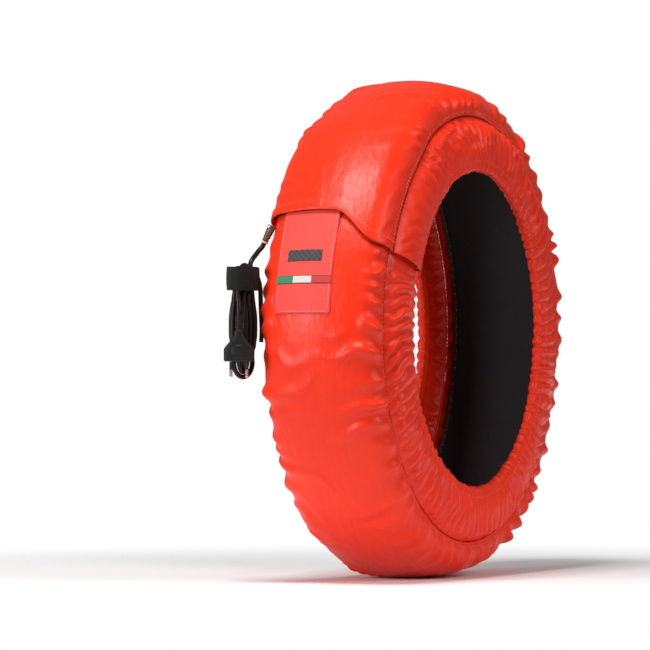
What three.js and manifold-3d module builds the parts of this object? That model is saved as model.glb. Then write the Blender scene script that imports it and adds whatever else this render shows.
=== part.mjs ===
// Electric warmer for a motorcycle's front tyre, as it sits on the wheel.
// Millimetres, +Z up. The origin is the wheel's centre and the wheel's axle lies along Y.
// The cover is one long padded strip. Its tucked end lies at the upper front (-X, +Z), the strip runs
// down, back, over the top and forward again, and its last part is the flap that closes over that end.
import * as THREE from 'three';
import { mergeVertices } from 'three/addons/utils/BufferGeometryUtils.js';
import Module from 'manifold-3d';

const wasm = await Module();
wasm.setup();

const DEG = Math.PI / 180;

// Tyre and layers
const TYRE_RADIUS = 300;
const FIT_CLEARANCE = 0.4;
const PLY_GAP = 0.3;
const LINING_THICKNESS = 1.0;
const HEATER_THICKNESS = 2.0;
const FELT_THICKNESS = 4.7;
const FABRIC_THICKNESS = 1.2;

// Cross-section of the tread panel: a flat crown arc and two tight shoulder arcs
const CROWN_RADIUS = 160;
const CROWN_SLOPE = 20;
const SHOULDER_RADIUS = 30;
const SEAM_SLOPE = 105;
const PADDING_SLOPE = 76;

// Cross-section of the side panels, from the shoulder seam to the gathered hem
const HEM_RADIUS = 203;
const HEM_HALF_WIDTH = 84.5;
const SIDE_BULGE = 11;
const HEM_DEPTH = 3.4;
const HEM_CHANNEL = 10;
const HEM_RETURN = 7;
const HEM_ROUND = 1.2;
const ELASTIC_RADIUS = 1.9;

// The strip's two ends, as angles above the -X axis
const TUCKED_END = 46;
const FLAP_EDGE = 27;
const PADDING_END = 50;
const FLAP_DROP_NEAR = 6.5;
const FLAP_RAMP = 20;
const TUCK_DEPTH = 5;
const TUCK_RAMP = 35;

// Folds of the tread's shoulders and gathers of the side panels
const STATIONS = 104;
const FOLD_HEIGHT = 4.2;
const FOLD_SKEW = 0.55;
const GATHER_HEIGHT = 5.0;
const HEM_GATHER = 2.4;
const HEM_SERRATION = 1.0;

// Closure under the flap
const FACING_THICKNESS = 1.0;
const FACING_SLOPE = 48;
const STRIP_THICKNESS = 1.4;
const STRIP_MARGIN = 2;

// Pull tab with its ribbon and label
const TAB_WIDTH = 75;
const TAB_CENTRE = 13;
const TAB_END = 3.4;
const TAB_TUCK = 2.4;
const TAB_THICKNESS = 1.6;
const RIBBON_HEIGHT = 9.5;
const RIBBON_THICKNESS = 0.6;
const RIBBON_ANGLE = 11;
const LABEL_WIDTH = 46;
const LABEL_HEIGHT = 14;
const LABEL_ANGLE = 16.5;

// Thermostat between the padding's two ends
const THERMOSTAT_LENGTH = 34;
const THERMOSTAT_WIDTH = 17;
const THERMOSTAT_THICKNESS = 5;

// Cable boot on the far shoulder
const BOOT_ANGLE = 25;
const BOOT_SLOPE = 48;
const BOOT_BASE_RADIUS = 5.0;
const BOOT_NECK_RADIUS = 3.4;
const BOOT_REACH = new THREE.Vector3(-3.8, 9.3, -21.1);
const RING_LENGTH = 2.2;
const RING_WALL = 0.9;
const RIVET_RADIUS = 1.8;
const RIVET_HEIGHT = 1.2;

// Cord and its hank, which hangs from the boot's tip. Its own frame's X runs across the hank's face.
const CORD_DIAMETER = 6;
const HANK_HANG = new THREE.Vector3(-17.8, 19.8, -104);
const HANK_YAW = -66;
const HANK_TOP = 80;
const HANK_BOTTOM = -61;
const HANK_LOOP_RADIUS = 18;
const TOP_SQUEEZE = 0.78;
const TOP_STRETCH = 1.15;
const BOTTOM_SQUEEZE = 0.86;
const BOTTOM_STRETCH = 1.08;
const TIE_TOP = 77;
const TIE_BOTTOM = 45;
const TIE_THICKNESS = 1.6;
const TIE_FRONT_ROOM = 6.3;
const SQUEEZE_START = 10;
const SQUEEZE_END = 43;
const HANK_SIDES = 16;

// Plug: its outline lies in the hank's XZ plane
const PLUG_X = -4;
const PLUG_TOP = 16;
const PLUG_NECK = -1;
const PLUG_SHOULDER = -22;
const PLUG_FACE = -39;
const PLUG_HALF_WIDTH = 18.3;
const PLUG_NECK_HALF_WIDTH = 5.6;
const PLUG_THICKNESS = 13.7;
const PLUG_BEVEL = 1.5;
const RELIEF_RADIUS = 4.6;
const RELIEF_RIBS = 5;
const RIB_DEPTH = 0.7;
const PIN_RADIUS = 2;
const PIN_LENGTH = 19;
const PIN_SPACING = 19;

// Worked-out sizes
const LINING_DEPTH = FABRIC_THICKNESS + PLY_GAP + FELT_THICKNESS + PLY_GAP + HEATER_THICKNESS + PLY_GAP;
const STACK_DEPTH = LINING_DEPTH + LINING_THICKNESS;
const CROWN_TOP = TYRE_RADIUS + FIT_CLEARANCE + STACK_DEPTH;
const FLAP_LIFT = FABRIC_THICKNESS + FACING_THICKNESS + 2 * STRIP_THICKNESS + 4 * PLY_GAP;
const STRIP_TURN = TUCKED_END + 360 - FLAP_EDGE;
const PADDING_TURN = TUCKED_END + 360 - PADDING_END;
const CORD_RADIUS = CORD_DIAMETER / 2;

// Slopes and turns where every sheet on the tread has its edges between facets, so that the layers nest
const halfSlopes = [CROWN_SLOPE / 2, CROWN_SLOPE, (CROWN_SLOPE + PADDING_SLOPE) / 2, PADDING_SLOPE, SEAM_SLOPE];
const allSlopes = [...halfSlopes.map((slope) => -slope).reverse(), 0, ...halfSlopes];
const allTurns = Array.from({ length: STATIONS + 1 }, (_, station) => (STRIP_TURN * station) / STATIONS);
const within = (list, low, high) => [low, ...list.filter((value) => value > low && value < high), high];

function smoothstep(low, high, value) {
  const t = Math.min(1, Math.max(0, (value - low) / (high - low)));
  return t * t * (3 - 2 * t);
}

// Slow uneven swell between about 0.4 and 1, for folds that differ from place to place
function swell(turn, seed) {
  return 0.7 + 0.17 * Math.sin(5 * turn * DEG + seed) + 0.13 * Math.sin(13 * turn * DEG + 2.3 * seed);
}

// A point of the cover from its width, its radius from the axle and its turn along the strip
function place(width, radius, turn) {
  const angle = (TUCKED_END - turn) * DEG;
  return new THREE.Vector3(-radius * Math.cos(angle), width, radius * Math.sin(angle));
}

// How far the flap end rises so that it passes over the tucked end
function flapLift(turn) {
  return FLAP_LIFT * smoothstep(360 - 2 - FLAP_RAMP, 360 - 2, turn);
}

// How far the sides of the tucked end sit inside the flap's sides
function sideTuck(turn) {
  return TUCK_DEPTH * (1 - smoothstep(TUCK_RAMP / 4, TUCK_RAMP, turn));
}

// The free edge of the flap hangs lower on the near side than on the crown
function edgeDrop(turn, width) {
  const side = smoothstep(20, HEM_HALF_WIDTH - 10, -width);
  return FLAP_DROP_NEAR * side * smoothstep(STRIP_TURN - 30, STRIP_TURN, turn);
}

// Where folds are held flat: both ends of the strip lie smooth
function slack(turn) {
  return smoothstep(20, 34, turn) * (1 - 0.8 * smoothstep(STRIP_TURN - 34, STRIP_TURN - 20, turn));
}

// Section of the tread at a slope from the crown, a depth below its outer face: [width, radius]
function treadSection(slope, depth) {
  const side = Math.sign(slope);
  const angle = Math.abs(slope) * DEG;
  const crown = Math.min(angle, CROWN_SLOPE * DEG);
  const inShoulder = angle > CROWN_SLOPE * DEG;
  const arcRadius = inShoulder ? SHOULDER_RADIUS : CROWN_RADIUS;
  const centreShift = inShoulder ? CROWN_RADIUS - SHOULDER_RADIUS : 0;
  const width = centreShift * Math.sin(crown) + (arcRadius - depth) * Math.sin(angle);
  const drop = centreShift * Math.cos(crown) + (arcRadius - depth) * Math.cos(angle);
  return [side * width, CROWN_TOP - CROWN_RADIUS + drop];
}

// Soft diagonal folds that fan out of the shoulder seam towards the crown
function foldHeight(slope, turn) {
  const steep = Math.abs(slope);
  const reach = smoothstep(CROWN_SLOPE + 2, 62, steep) * (1 - smoothstep(86, SEAM_SLOPE, steep));
  const period = (4 * STRIP_TURN) / STATIONS;
  const side = Math.sign(slope);
  const ridge = 0.5 + 0.5 * Math.sin(((turn / period) * 360 + side * 40 + FOLD_SKEW * steep) * DEG);
  return FOLD_HEIGHT * reach * ridge * swell(turn, 1.7 + side) * slack(turn);
}

function treadPoint(slope, turn, depth) {
  const height = foldHeight(slope, turn) + flapLift(turn);
  const [width, radius] = treadSection(slope, depth - height);
  return place(width, radius, turn + edgeDrop(turn, width));
}

// A closed sheet from two grids of points, its outer and its inner face
function closedSheet(rows, columns, outerPoint, innerPoint) {
  const positions = [];
  for (const point of [outerPoint, innerPoint]) {
    for (let row = 0; row <= rows; row += 1) {
      for (let column = 0; column <= columns; column += 1) {
        positions.push(...point(row, column).toArray());
      }
    }
  }
  const stride = columns + 1;
  const layer = stride * (rows + 1);
  const index = [];
  const quad = (a, b, c, d) => index.push(a, b, c, a, c, d);
  for (let row = 0; row < rows; row += 1) {
    for (let column = 0; column < columns; column += 1) {
      const a = row * stride + column;
      quad(a, a + 1, a + 1 + stride, a + stride);
      quad(layer + a, layer + a + stride, layer + a + 1 + stride, layer + a + 1);
    }
  }
  for (let column = 0; column < columns; column += 1) {
    const last = rows * stride + column;
    quad(column + 1, column, layer + column, layer + column + 1);
    quad(last, last + 1, layer + last + 1, layer + last);
  }
  for (let row = 0; row < rows; row += 1) {
    const first = row * stride;
    const last = first + columns;
    quad(first, first + stride, layer + first + stride, layer + first);
    quad(last + stride, last, layer + last, layer + last + stride);
  }
  return outwardGeometry(positions, index);
}

// A geometry from points and triangles, turned so that its faces point out
function outwardGeometry(positions, index) {
  const corner = (i) => new THREE.Vector3().fromArray(positions, 3 * i);
  let volume = 0;
  for (let i = 0; i < index.length; i += 3) {
    const cross = corner(index[i + 1]).cross(corner(index[i + 2]));
    volume += corner(index[i]).dot(cross);
  }
  const faces = volume < 0 ? index.toReversed() : index;
  const geometry = new THREE.BufferGeometry();
  geometry.setAttribute('position', new THREE.Float32BufferAttribute(positions, 3));
  geometry.setIndex(faces);
  return geometry;
}

// A curved sheet that follows the tread between two slopes and two turns
function treadSheet(slopes, firstTurn, lastTurn, depth, thickness) {
  const turns = within(allTurns, firstTurn, lastTurn);
  const face = (extra) => (row, column) => treadPoint(slopes[column], turns[row], depth + extra);
  return closedSheet(turns.length - 1, slopes.length - 1, face(0), face(thickness));
}

// A layer of the padding: like a tread sheet, but with no fold and no flap
function paddingLayer(depth, thickness) {
  const rows = Math.round(STATIONS / 4);
  const slopes = within(allSlopes, -PADDING_SLOPE, PADDING_SLOPE);
  const face = (extra) => (row, column) => {
    const [width, radius] = treadSection(slopes[column], depth + extra);
    return place(width, radius, THREE.MathUtils.lerp(0, PADDING_TURN, row / rows));
  };
  return closedSheet(rows, slopes.length - 1, face(0), face(thickness));
}

// Section of a side panel with its hem, for the side whose sign is given, as [width, radius] points
function sideSection() {
  const [seamWidth, seamRadius] = treadSection(SEAM_SLOPE, 0);
  const start = new THREE.Vector2(seamWidth, seamRadius - 1.2 * PLY_GAP);
  const end = new THREE.Vector2(HEM_HALF_WIDTH, HEM_RADIUS);
  const control = new THREE.Vector2(
    (start.x + end.x) / 2 + SIDE_BULGE,
    (start.y + 2 * end.y) / 3 + SIDE_BULGE + 5.6,
  );
  const curve = new THREE.QuadraticBezierCurve(start, control, end);
  const points = [0, 0.35, 0.7, 1].map((t) => curve.getPoint(t));
  const inside = HEM_HALF_WIDTH - HEM_CHANNEL;
  points.push(new THREE.Vector2(HEM_HALF_WIDTH - HEM_ROUND, HEM_RADIUS - HEM_DEPTH));
  points.push(new THREE.Vector2(inside + HEM_ROUND, HEM_RADIUS - HEM_DEPTH));
  points.push(new THREE.Vector2(inside, HEM_RADIUS + HEM_RETURN));
  return points;
}

// The same section moved to its inner face, along the mean normal at each point
function offsetSection(points, distance) {
  return points.map((point, i) => {
    const before = points[Math.max(i - 1, 0)];
    const after = points[Math.min(i + 1, points.length - 1)];
    const first = point.clone().sub(before).normalize();
    const second = after.clone().sub(point).normalize();
    const along = first.add(second).normalize();
    return new THREE.Vector2(point.x + distance * along.y, point.y - distance * along.x);
  });
}

// How much a gather pushes the side panel out at a share of its way from the seam (0) to the hem (1)
function gatherPush(station, share, turn, seed) {
  const body = GATHER_HEIGHT * Math.sin(Math.PI * Math.min(1, 0.08 + 0.84 * share));
  const height = THREE.MathUtils.lerp(body, HEM_GATHER, smoothstep(0.7, 1, share));
  const alternate = station % 2;
  return height * alternate * swell(turn, seed) * smoothstep(0, 0.12, share) * slack(turn);
}

function sidePanel(side, seed) {
  const outer = sideSection();
  const inner = offsetSection(outer, FABRIC_THICKNESS);
  const shares = [0, 0.35, 0.7, 1, 1, 1, 1];
  const face = (section) => (station, column) => {
    const turn = (STRIP_TURN * station) / STATIONS;
    const share = shares[column];
    const push = gatherPush(station, share, turn, seed);
    const serration = HEM_SERRATION * (station % 2) * smoothstep(0.9, 1, share);
    const fromSeam = smoothstep(0, 0.5, share);
    const lift = flapLift(turn);
    const across = lift * THREE.MathUtils.lerp(Math.sin(SEAM_SLOPE * DEG), 1, fromSeam);
    const inward = lift * THREE.MathUtils.lerp(Math.cos(SEAM_SLOPE * DEG), 0, fromSeam);
    const width = side * (section[column].x + push + across - sideTuck(turn) * fromSeam);
    return place(width, section[column].y - serration + inward, turn + edgeDrop(turn, width));
  };
  return closedSheet(STATIONS, outer.length - 1, face(outer), face(inner));
}

// A closed tube of round section through a list of points, with its own flat ends
function tubeThrough(points, radius, sides) {
  const curve = new THREE.CatmullRomCurve3(points, false, 'centripetal');
  const ring = new THREE.Shape();
  for (let i = 0; i < sides; i += 1) {
    const angle = (2 * Math.PI * i) / sides;
    const draw = i === 0 ? 'moveTo' : 'lineTo';
    ring[draw](radius * Math.cos(angle), radius * Math.sin(angle));
  }
  ring.closePath();
  const steps = Math.max(4, Math.round(curve.getLength() / (5 * radius)));
  return new THREE.ExtrudeGeometry(ring, { steps, extrudePath: curve, bevelEnabled: false });
}

// The elastic cord that runs in a side panel's hem from end to end
function hemElastic(side) {
  const width = HEM_HALF_WIDTH - FABRIC_THICKNESS - 1.2 * PLY_GAP - ELASTIC_RADIUS;
  const radius = HEM_RADIUS - HEM_DEPTH + FABRIC_THICKNESS + 2 * PLY_GAP + ELASTIC_RADIUS;
  const rows = STATIONS / 2;
  const sides = 5;
  const positions = [];
  const index = [];
  for (let row = 0; row <= rows; row += 1) {
    const turn = THREE.MathUtils.lerp(0.6, STRIP_TURN - 0.6, row / rows);
    for (let i = 0; i < sides; i += 1) {
      const angle = (2 * Math.PI * (i + 0.5)) / sides;
      const across = width + ELASTIC_RADIUS * Math.cos(angle) + flapLift(turn) - sideTuck(turn);
      const endDrop = edgeDrop(turn, side * (width + flapLift(turn)));
      const point = place(side * across, radius + ELASTIC_RADIUS * Math.sin(angle), turn + endDrop);
      positions.push(...point.toArray());
    }
  }
  for (let row = 0; row < rows; row += 1) {
    for (let i = 0; i < sides; i += 1) {
      const a = row * sides + i;
      const b = row * sides + ((i + 1) % sides);
      index.push(a, b, b + sides, a, b + sides, a + sides);
    }
  }
  for (let i = 1; i < sides - 1; i += 1) {
    const last = rows * sides;
    index.push(0, i + 1, i, last, last + i, last + i + 1);
  }
  return outwardGeometry(positions, index);
}

// A strip of the hook and loop closure, across the flat crown between the flap and the tucked end
function closureStrip(depth, firstTurn, lastTurn) {
  const slopes = within(allSlopes, -CROWN_SLOPE, CROWN_SLOPE);
  return treadSheet(slopes, firstTurn, lastTurn, depth, STRIP_THICKNESS);
}

// A flat piece that lies on the tread under the flap's edge: heights are above the tread's outer face
function tabPiece(width, centre, angles, heightAt, thickness) {
  const rows = Math.ceil((angles[0] - angles[1]) / 3.2);
  const slopeAt = (across) => Math.asin(across / CROWN_RADIUS) / DEG;
  const slopes = within(allSlopes, slopeAt(centre - width / 2), slopeAt(centre + width / 2));
  const face = (extra) => (row, column) => {
    const angle = THREE.MathUtils.lerp(angles[0], angles[1], row / rows);
    const [y, radius] = treadSection(slopes[column], -heightAt(angle) - extra);
    return place(y, radius, TUCKED_END - angle);
  };
  return closedSheet(rows, slopes.length - 1, face(thickness), face(0));
}

// The tab lies on the tread and rises at its top, where it is sewn under the flap's edge
function tabHeight(angle) {
  const underFlap = FLAP_LIFT - FABRIC_THICKNESS - FACING_THICKNESS - 3 * PLY_GAP - TAB_THICKNESS;
  return THREE.MathUtils.lerp(PLY_GAP, underFlap, smoothstep(FLAP_EDGE - 6, FLAP_EDGE - 0.5, angle));
}

function onTab(width, height, angle, thickness) {
  const halfAngle = height / 2 / CROWN_TOP / DEG;
  const base = (at) => tabHeight(at) + TAB_THICKNESS + PLY_GAP;
  return tabPiece(width, TAB_CENTRE, [angle + halfAngle, angle - halfAngle], base, thickness);
}

// A lathe about Z whose profile is given as [radius, height] pairs
function turned(profile, segments) {
  const points = profile.map(([radius, height]) => new THREE.Vector2(radius, height));
  return new THREE.LatheGeometry(points, segments).rotateX(Math.PI / 2);
}

// Squeeze across and stretch along the hank's depth at a height, from the tie to the lower loops
function hankScale(height) {
  const top = smoothstep(SQUEEZE_START, SQUEEZE_END, height);
  const bottom = smoothstep(0, HANK_BOTTOM + HANK_LOOP_RADIUS, height);
  return {
    across: 1 - (1 - TOP_SQUEEZE) * top - (1 - BOTTOM_SQUEEZE) * bottom,
    deep: 1 + (TOP_STRETCH - 1) * top + (BOTTOM_STRETCH - 1) * bottom,
  };
}

// Half width and half depth of the wound hank at a height
function hankHalfSizes(height) {
  const scale = hankScale(height);
  return {
    across: HANK_LOOP_RADIUS * scale.across + CORD_RADIUS,
    deep: HANK_LOOP_RADIUS * scale.deep + CORD_RADIUS,
  };
}

// The outer shape of the hank: a tall rounded form, closed over its loops at the top and the bottom
function hankGeometry() {
  const capHeight = HANK_LOOP_RADIUS + CORD_RADIUS;
  const profile = [];
  for (let i = 0; i <= 4; i += 1) {
    const angle = (i / 4) * 90 * DEG;
    profile.push([Math.sin(angle), HANK_BOTTOM + capHeight * (1 - Math.cos(angle))]);
  }
  for (const height of [SQUEEZE_START - 20, SQUEEZE_START, SQUEEZE_END]) {
    profile.push([1, height]);
  }
  for (let i = 0; i <= 4; i += 1) {
    const angle = (i / 4) * 90 * DEG;
    profile.push([Math.cos(angle), HANK_TOP - capHeight * (1 - Math.sin(angle))]);
  }
  profile[0][0] = 0;
  profile[profile.length - 1][0] = 0;
  const geometry = turned(profile, HANK_SIDES);
  const position = geometry.getAttribute('position');
  for (let i = 0; i < position.count; i += 1) {
    const half = hankHalfSizes(position.getZ(i));
    position.setX(i, position.getX(i) * half.across);
    position.setY(i, position.getY(i) * half.deep);
  }
  return geometry;
}

// Height of the hank's top surface at a place in its own frame
function hankTopAt(x, y) {
  const half = hankHalfSizes(HANK_TOP);
  const out = Math.min(1, (x / half.across) ** 2 + (y / half.deep) ** 2);
  const capHeight = HANK_LOOP_RADIUS + CORD_RADIUS;
  return HANK_TOP - capHeight * (1 - Math.sqrt(1 - out));
}

// The strap round the hank's neck, with room in front for the cord's last strand
function tieGeometry() {
  const half = hankHalfSizes(TIE_BOTTOM);
  const outline = (wall) => Array.from({ length: HANK_SIDES }, (_, side) => {
    const angle = (2 * Math.PI * side) / HANK_SIDES;
    const room = side > HANK_SIDES / 2 ? TIE_FRONT_ROOM : 0;
    const across = half.across + PLY_GAP + wall;
    const deep = half.deep + PLY_GAP + wall + room;
    return new THREE.Vector2(across * Math.cos(angle), deep * Math.sin(angle));
  });
  const shape = new THREE.Shape(outline(TIE_THICKNESS));
  shape.holes.push(new THREE.Path(outline(0)));
  const strap = new THREE.ExtrudeGeometry(shape, { depth: TIE_TOP - TIE_BOTTOM, bevelEnabled: false });
  return strap.translate(0, 0, TIE_BOTTOM);
}

// A closed geometry as a solid for joining
function solidOf(geometry) {
  const bare = geometry.clone();
  bare.deleteAttribute('normal');
  bare.deleteAttribute('uv');
  const merged = mergeVertices(bare, 1e-3);
  const mesh = new wasm.Mesh({
    numProp: 3,
    vertProperties: new Float32Array(merged.getAttribute('position').array),
    triVerts: new Uint32Array(merged.getIndex().array),
  });
  return new wasm.Manifold(mesh);
}

function geometryOf(solid) {
  const mesh = solid.getMesh();
  return outwardGeometry(Array.from(mesh.vertProperties), Array.from(mesh.triVerts));
}

// The plug's moulded body, one piece with its ribbed strain relief
function plugGeometry() {
  const shape = new THREE.Shape();
  shape.moveTo(-PLUG_NECK_HALF_WIDTH, PLUG_NECK);
  shape.quadraticCurveTo(-PLUG_NECK_HALF_WIDTH - 1.5, PLUG_SHOULDER + 6, -PLUG_HALF_WIDTH, PLUG_SHOULDER);
  shape.lineTo(-PLUG_HALF_WIDTH, PLUG_FACE);
  shape.lineTo(PLUG_HALF_WIDTH, PLUG_FACE);
  shape.lineTo(PLUG_HALF_WIDTH, PLUG_SHOULDER);
  shape.quadraticCurveTo(PLUG_NECK_HALF_WIDTH + 1.5, PLUG_SHOULDER + 6, PLUG_NECK_HALF_WIDTH, PLUG_NECK);
  shape.closePath();
  const body = new THREE.ExtrudeGeometry(shape, {
    depth: PLUG_THICKNESS - 2 * PLUG_BEVEL,
    bevelSize: PLUG_BEVEL,
    bevelOffset: -PLUG_BEVEL,
    bevelThickness: PLUG_BEVEL,
    bevelSegments: 2,
    curveSegments: 5,
  });
  body.rotateX(Math.PI / 2);
  body.translate(0, PLUG_THICKNESS / 2 - PLUG_BEVEL, 0);
  const foot = PLUG_NECK - 6;
  const profile = [[0, foot]];
  const pitch = (PLUG_TOP - PLUG_NECK) / RELIEF_RIBS;
  profile.push([RELIEF_RADIUS, foot]);
  for (let rib = 0; rib < RELIEF_RIBS; rib += 1) {
    const low = PLUG_NECK + rib * pitch;
    profile.push([RELIEF_RADIUS, low + 0.15 * pitch]);
    profile.push([RELIEF_RADIUS - RIB_DEPTH, low + 0.3 * pitch]);
    profile.push([RELIEF_RADIUS - RIB_DEPTH, low + 0.7 * pitch]);
    profile.push([RELIEF_RADIUS, low + 0.85 * pitch]);
  }
  profile.push([RELIEF_RADIUS, PLUG_TOP], [0, PLUG_TOP]);
  return geometryOf(solidOf(body).add(solidOf(turned(profile, 12))));
}

function pinGeometry() {
  const tip = PIN_RADIUS * 0.6;
  const bottom = PLUG_FACE - PLY_GAP - PIN_LENGTH;
  const profile = [[0, bottom], [PIN_RADIUS - tip * 0.5, bottom], [PIN_RADIUS, bottom + tip]];
  profile.push([PIN_RADIUS, PLUG_FACE - PLY_GAP], [0, PLUG_FACE - PLY_GAP]);
  return turned(profile, 12);
}

const CLOTH = { roughness: 0.45, metalness: 0 };
const finishes = {
  shell: new THREE.MeshStandardMaterial({ color: 0xf03a1c, ...CLOTH }),
  tab: new THREE.MeshStandardMaterial({ color: 0xf5504a, roughness: 0.6, metalness: 0 }),
  lining: new THREE.MeshStandardMaterial({ color: 0x1b1b1d, roughness: 0.85, metalness: 0 }),
  felt: new THREE.MeshStandardMaterial({ color: 0xb9b7ae, roughness: 0.95, metalness: 0 }),
  heater: new THREE.MeshStandardMaterial({ color: 0x7a4a2e, roughness: 0.8, metalness: 0 }),
  elastic: new THREE.MeshStandardMaterial({ color: 0xd9d5cc, roughness: 0.8, metalness: 0 }),
  hookLoop: new THREE.MeshStandardMaterial({ color: 0x15110e, roughness: 0.95, metalness: 0 }),
  ribbon: new THREE.MeshStandardMaterial({ color: 0x0f8f5c, roughness: 0.7, metalness: 0 }),
  boot: new THREE.MeshStandardMaterial({ color: 0x5a4030, roughness: 0.3, metalness: 0 }),
  metal: new THREE.MeshStandardMaterial({ color: 0xd8d6d2, roughness: 0.25, metalness: 1 }),
  cord: new THREE.MeshStandardMaterial({ color: 0x141210, roughness: 0.4, metalness: 0 }),
  plug: new THREE.MeshStandardMaterial({ color: 0x1d1b1a, roughness: 0.45, metalness: 0 }),
};

const group = new THREE.Group();

function addMesh(parent, name, geometry, material) {
  const mesh = new THREE.Mesh(geometry, material);
  mesh.name = name;
  parent.add(mesh);
  return mesh;
}

// Outer shell: the tread panel and the two gathered side panels
const treadPanel = treadSheet(allSlopes, 0, STRIP_TURN, 0, FABRIC_THICKNESS);
addMesh(group, 'tread_panel', treadPanel, finishes.shell);
addMesh(group, 'side_panel_left', sidePanel(-1, 0.4), finishes.shell);
addMesh(group, 'side_panel_right', sidePanel(1, 2.9), finishes.shell);
addMesh(group, 'elastic_left', hemElastic(-1), finishes.elastic);
addMesh(group, 'elastic_right', hemElastic(1), finishes.elastic);

// Padding under the tread panel, from the outside in
const feltDepth = FABRIC_THICKNESS + PLY_GAP;
const heaterDepth = feltDepth + FELT_THICKNESS + PLY_GAP;
addMesh(group, 'insulation_felt', paddingLayer(feltDepth, FELT_THICKNESS), finishes.felt);
addMesh(group, 'heating_blanket', paddingLayer(heaterDepth, HEATER_THICKNESS), finishes.heater);
addMesh(group, 'inner_lining', paddingLayer(LINING_DEPTH, LINING_THICKNESS), finishes.lining);

// Thermostat in the gap between the padding's two ends, against the tucked end
const thermostat = new THREE.BoxGeometry(THERMOSTAT_THICKNESS, THERMOSTAT_LENGTH, THERMOSTAT_WIDTH);
const thermostatMesh = addMesh(group, 'thermostat', thermostat, finishes.boot);
const thermostatRadius = TYRE_RADIUS + FIT_CLEARANCE + THERMOSTAT_THICKNESS / 2;
const thermostatTurn = -(THERMOSTAT_WIDTH / 2 + PLY_GAP) / thermostatRadius / DEG;
thermostatMesh.position.copy(place(0, thermostatRadius, thermostatTurn));
thermostatMesh.rotation.y = (TUCKED_END - thermostatTurn) * DEG;

// Flap facing with the hook strip, and the loop strip on the tucked end
const facingSlopes = within(allSlopes, -FACING_SLOPE, FACING_SLOPE);
const facingStart = allTurns.find((turn) => turn >= 360 - STRIP_MARGIN);
const facing = treadSheet(facingSlopes, facingStart, STRIP_TURN, feltDepth, FACING_THICKNESS);
addMesh(group, 'flap_facing', facing, finishes.lining);
const hookDepth = feltDepth + FACING_THICKNESS + PLY_GAP;
const stripEnd = STRIP_TURN - 360 - TAB_TUCK - STRIP_MARGIN / 2;
const hookStrip = closureStrip(hookDepth, 360 + STRIP_MARGIN, 360 + stripEnd);
const loopStrip = closureStrip(-PLY_GAP - STRIP_THICKNESS, STRIP_MARGIN, stripEnd);
addMesh(group, 'hook_strip', hookStrip, finishes.hookLoop);
addMesh(group, 'loop_strip', loopStrip, finishes.hookLoop);

// Pull tab sewn under the flap's edge, with its ribbon and its plain label
const tabAngles = [FLAP_EDGE + TAB_TUCK, TAB_END];
const tab = tabPiece(TAB_WIDTH, TAB_CENTRE, tabAngles, tabHeight, TAB_THICKNESS);
addMesh(group, 'pull_tab', tab, finishes.tab);
const ribbon = onTab(TAB_WIDTH, RIBBON_HEIGHT, RIBBON_ANGLE, RIBBON_THICKNESS);
addMesh(group, 'ribbon', ribbon, finishes.ribbon);
const label = onTab(LABEL_WIDTH, LABEL_HEIGHT, LABEL_ANGLE, RIBBON_THICKNESS);
addMesh(group, 'label', label, finishes.hookLoop);

// Cable boot on the far shoulder, its axis from just off the cloth to the tip
const [bootWidth, bootRadius] = treadSection(BOOT_SLOPE, -(BOOT_BASE_RADIUS + PLY_GAP));
const bootRoot = place(bootWidth, bootRadius, TUCKED_END - BOOT_ANGLE);
const bootTip = bootRoot.clone().add(BOOT_REACH);
const bootAxis = BOOT_REACH.clone().normalize();
const bootLength = BOOT_REACH.length();
const bootGroup = new THREE.Group();
bootGroup.position.copy(bootRoot);
bootGroup.quaternion.setFromUnitVectors(new THREE.Vector3(0, 0, 1), bootAxis);
group.add(bootGroup);
const neckStart = bootLength - RING_LENGTH - 1;
const bootProfile = [[0, 0], [BOOT_BASE_RADIUS - 0.8, 0], [BOOT_BASE_RADIUS, 0.8], [BOOT_BASE_RADIUS, 4]];
bootProfile.push([BOOT_NECK_RADIUS + 0.5, neckStart - 1], [BOOT_NECK_RADIUS, neckStart]);
bootProfile.push([BOOT_NECK_RADIUS, bootLength], [0, bootLength]);
addMesh(bootGroup, 'cable_boot', turned(bootProfile, 16), finishes.boot);
const ringInner = BOOT_NECK_RADIUS + PLY_GAP;
const ringOuter = ringInner + RING_WALL;
const ringProfile = [[ringInner, 0], [ringOuter, 0], [ringOuter, RING_LENGTH], [ringInner, RING_LENGTH]];
ringProfile.push([ringInner, 0]);
const ringMesh = addMesh(bootGroup, 'boot_ring', turned(ringProfile, 16), finishes.elastic);
ringMesh.position.z = bootLength - RING_LENGTH;
const rivetProfile = [[0, 0], [RIVET_RADIUS, 0], [RIVET_RADIUS * 0.7, RIVET_HEIGHT], [0, RIVET_HEIGHT]];
const rivetHolder = new THREE.Group();
rivetHolder.rotation.z = -120 * DEG;
bootGroup.add(rivetHolder);
const rivet = addMesh(rivetHolder, 'boot_rivet', turned(rivetProfile, 12), finishes.metal);
rivet.position.set(BOOT_BASE_RADIUS + PLY_GAP, 0, 3);
rivet.rotation.y = Math.PI / 2;

// The hank, its tie and the plug share the hank's frame
const hankFrame = new THREE.Group();
hankFrame.position.copy(bootTip).add(HANK_HANG);
hankFrame.rotation.z = HANK_YAW * DEG;
group.add(hankFrame);
hankFrame.updateMatrixWorld(true);
addMesh(hankFrame, 'cord_hank', hankGeometry(), finishes.cord);
addMesh(hankFrame, 'hank_tie', tieGeometry(), finishes.hookLoop);

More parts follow.
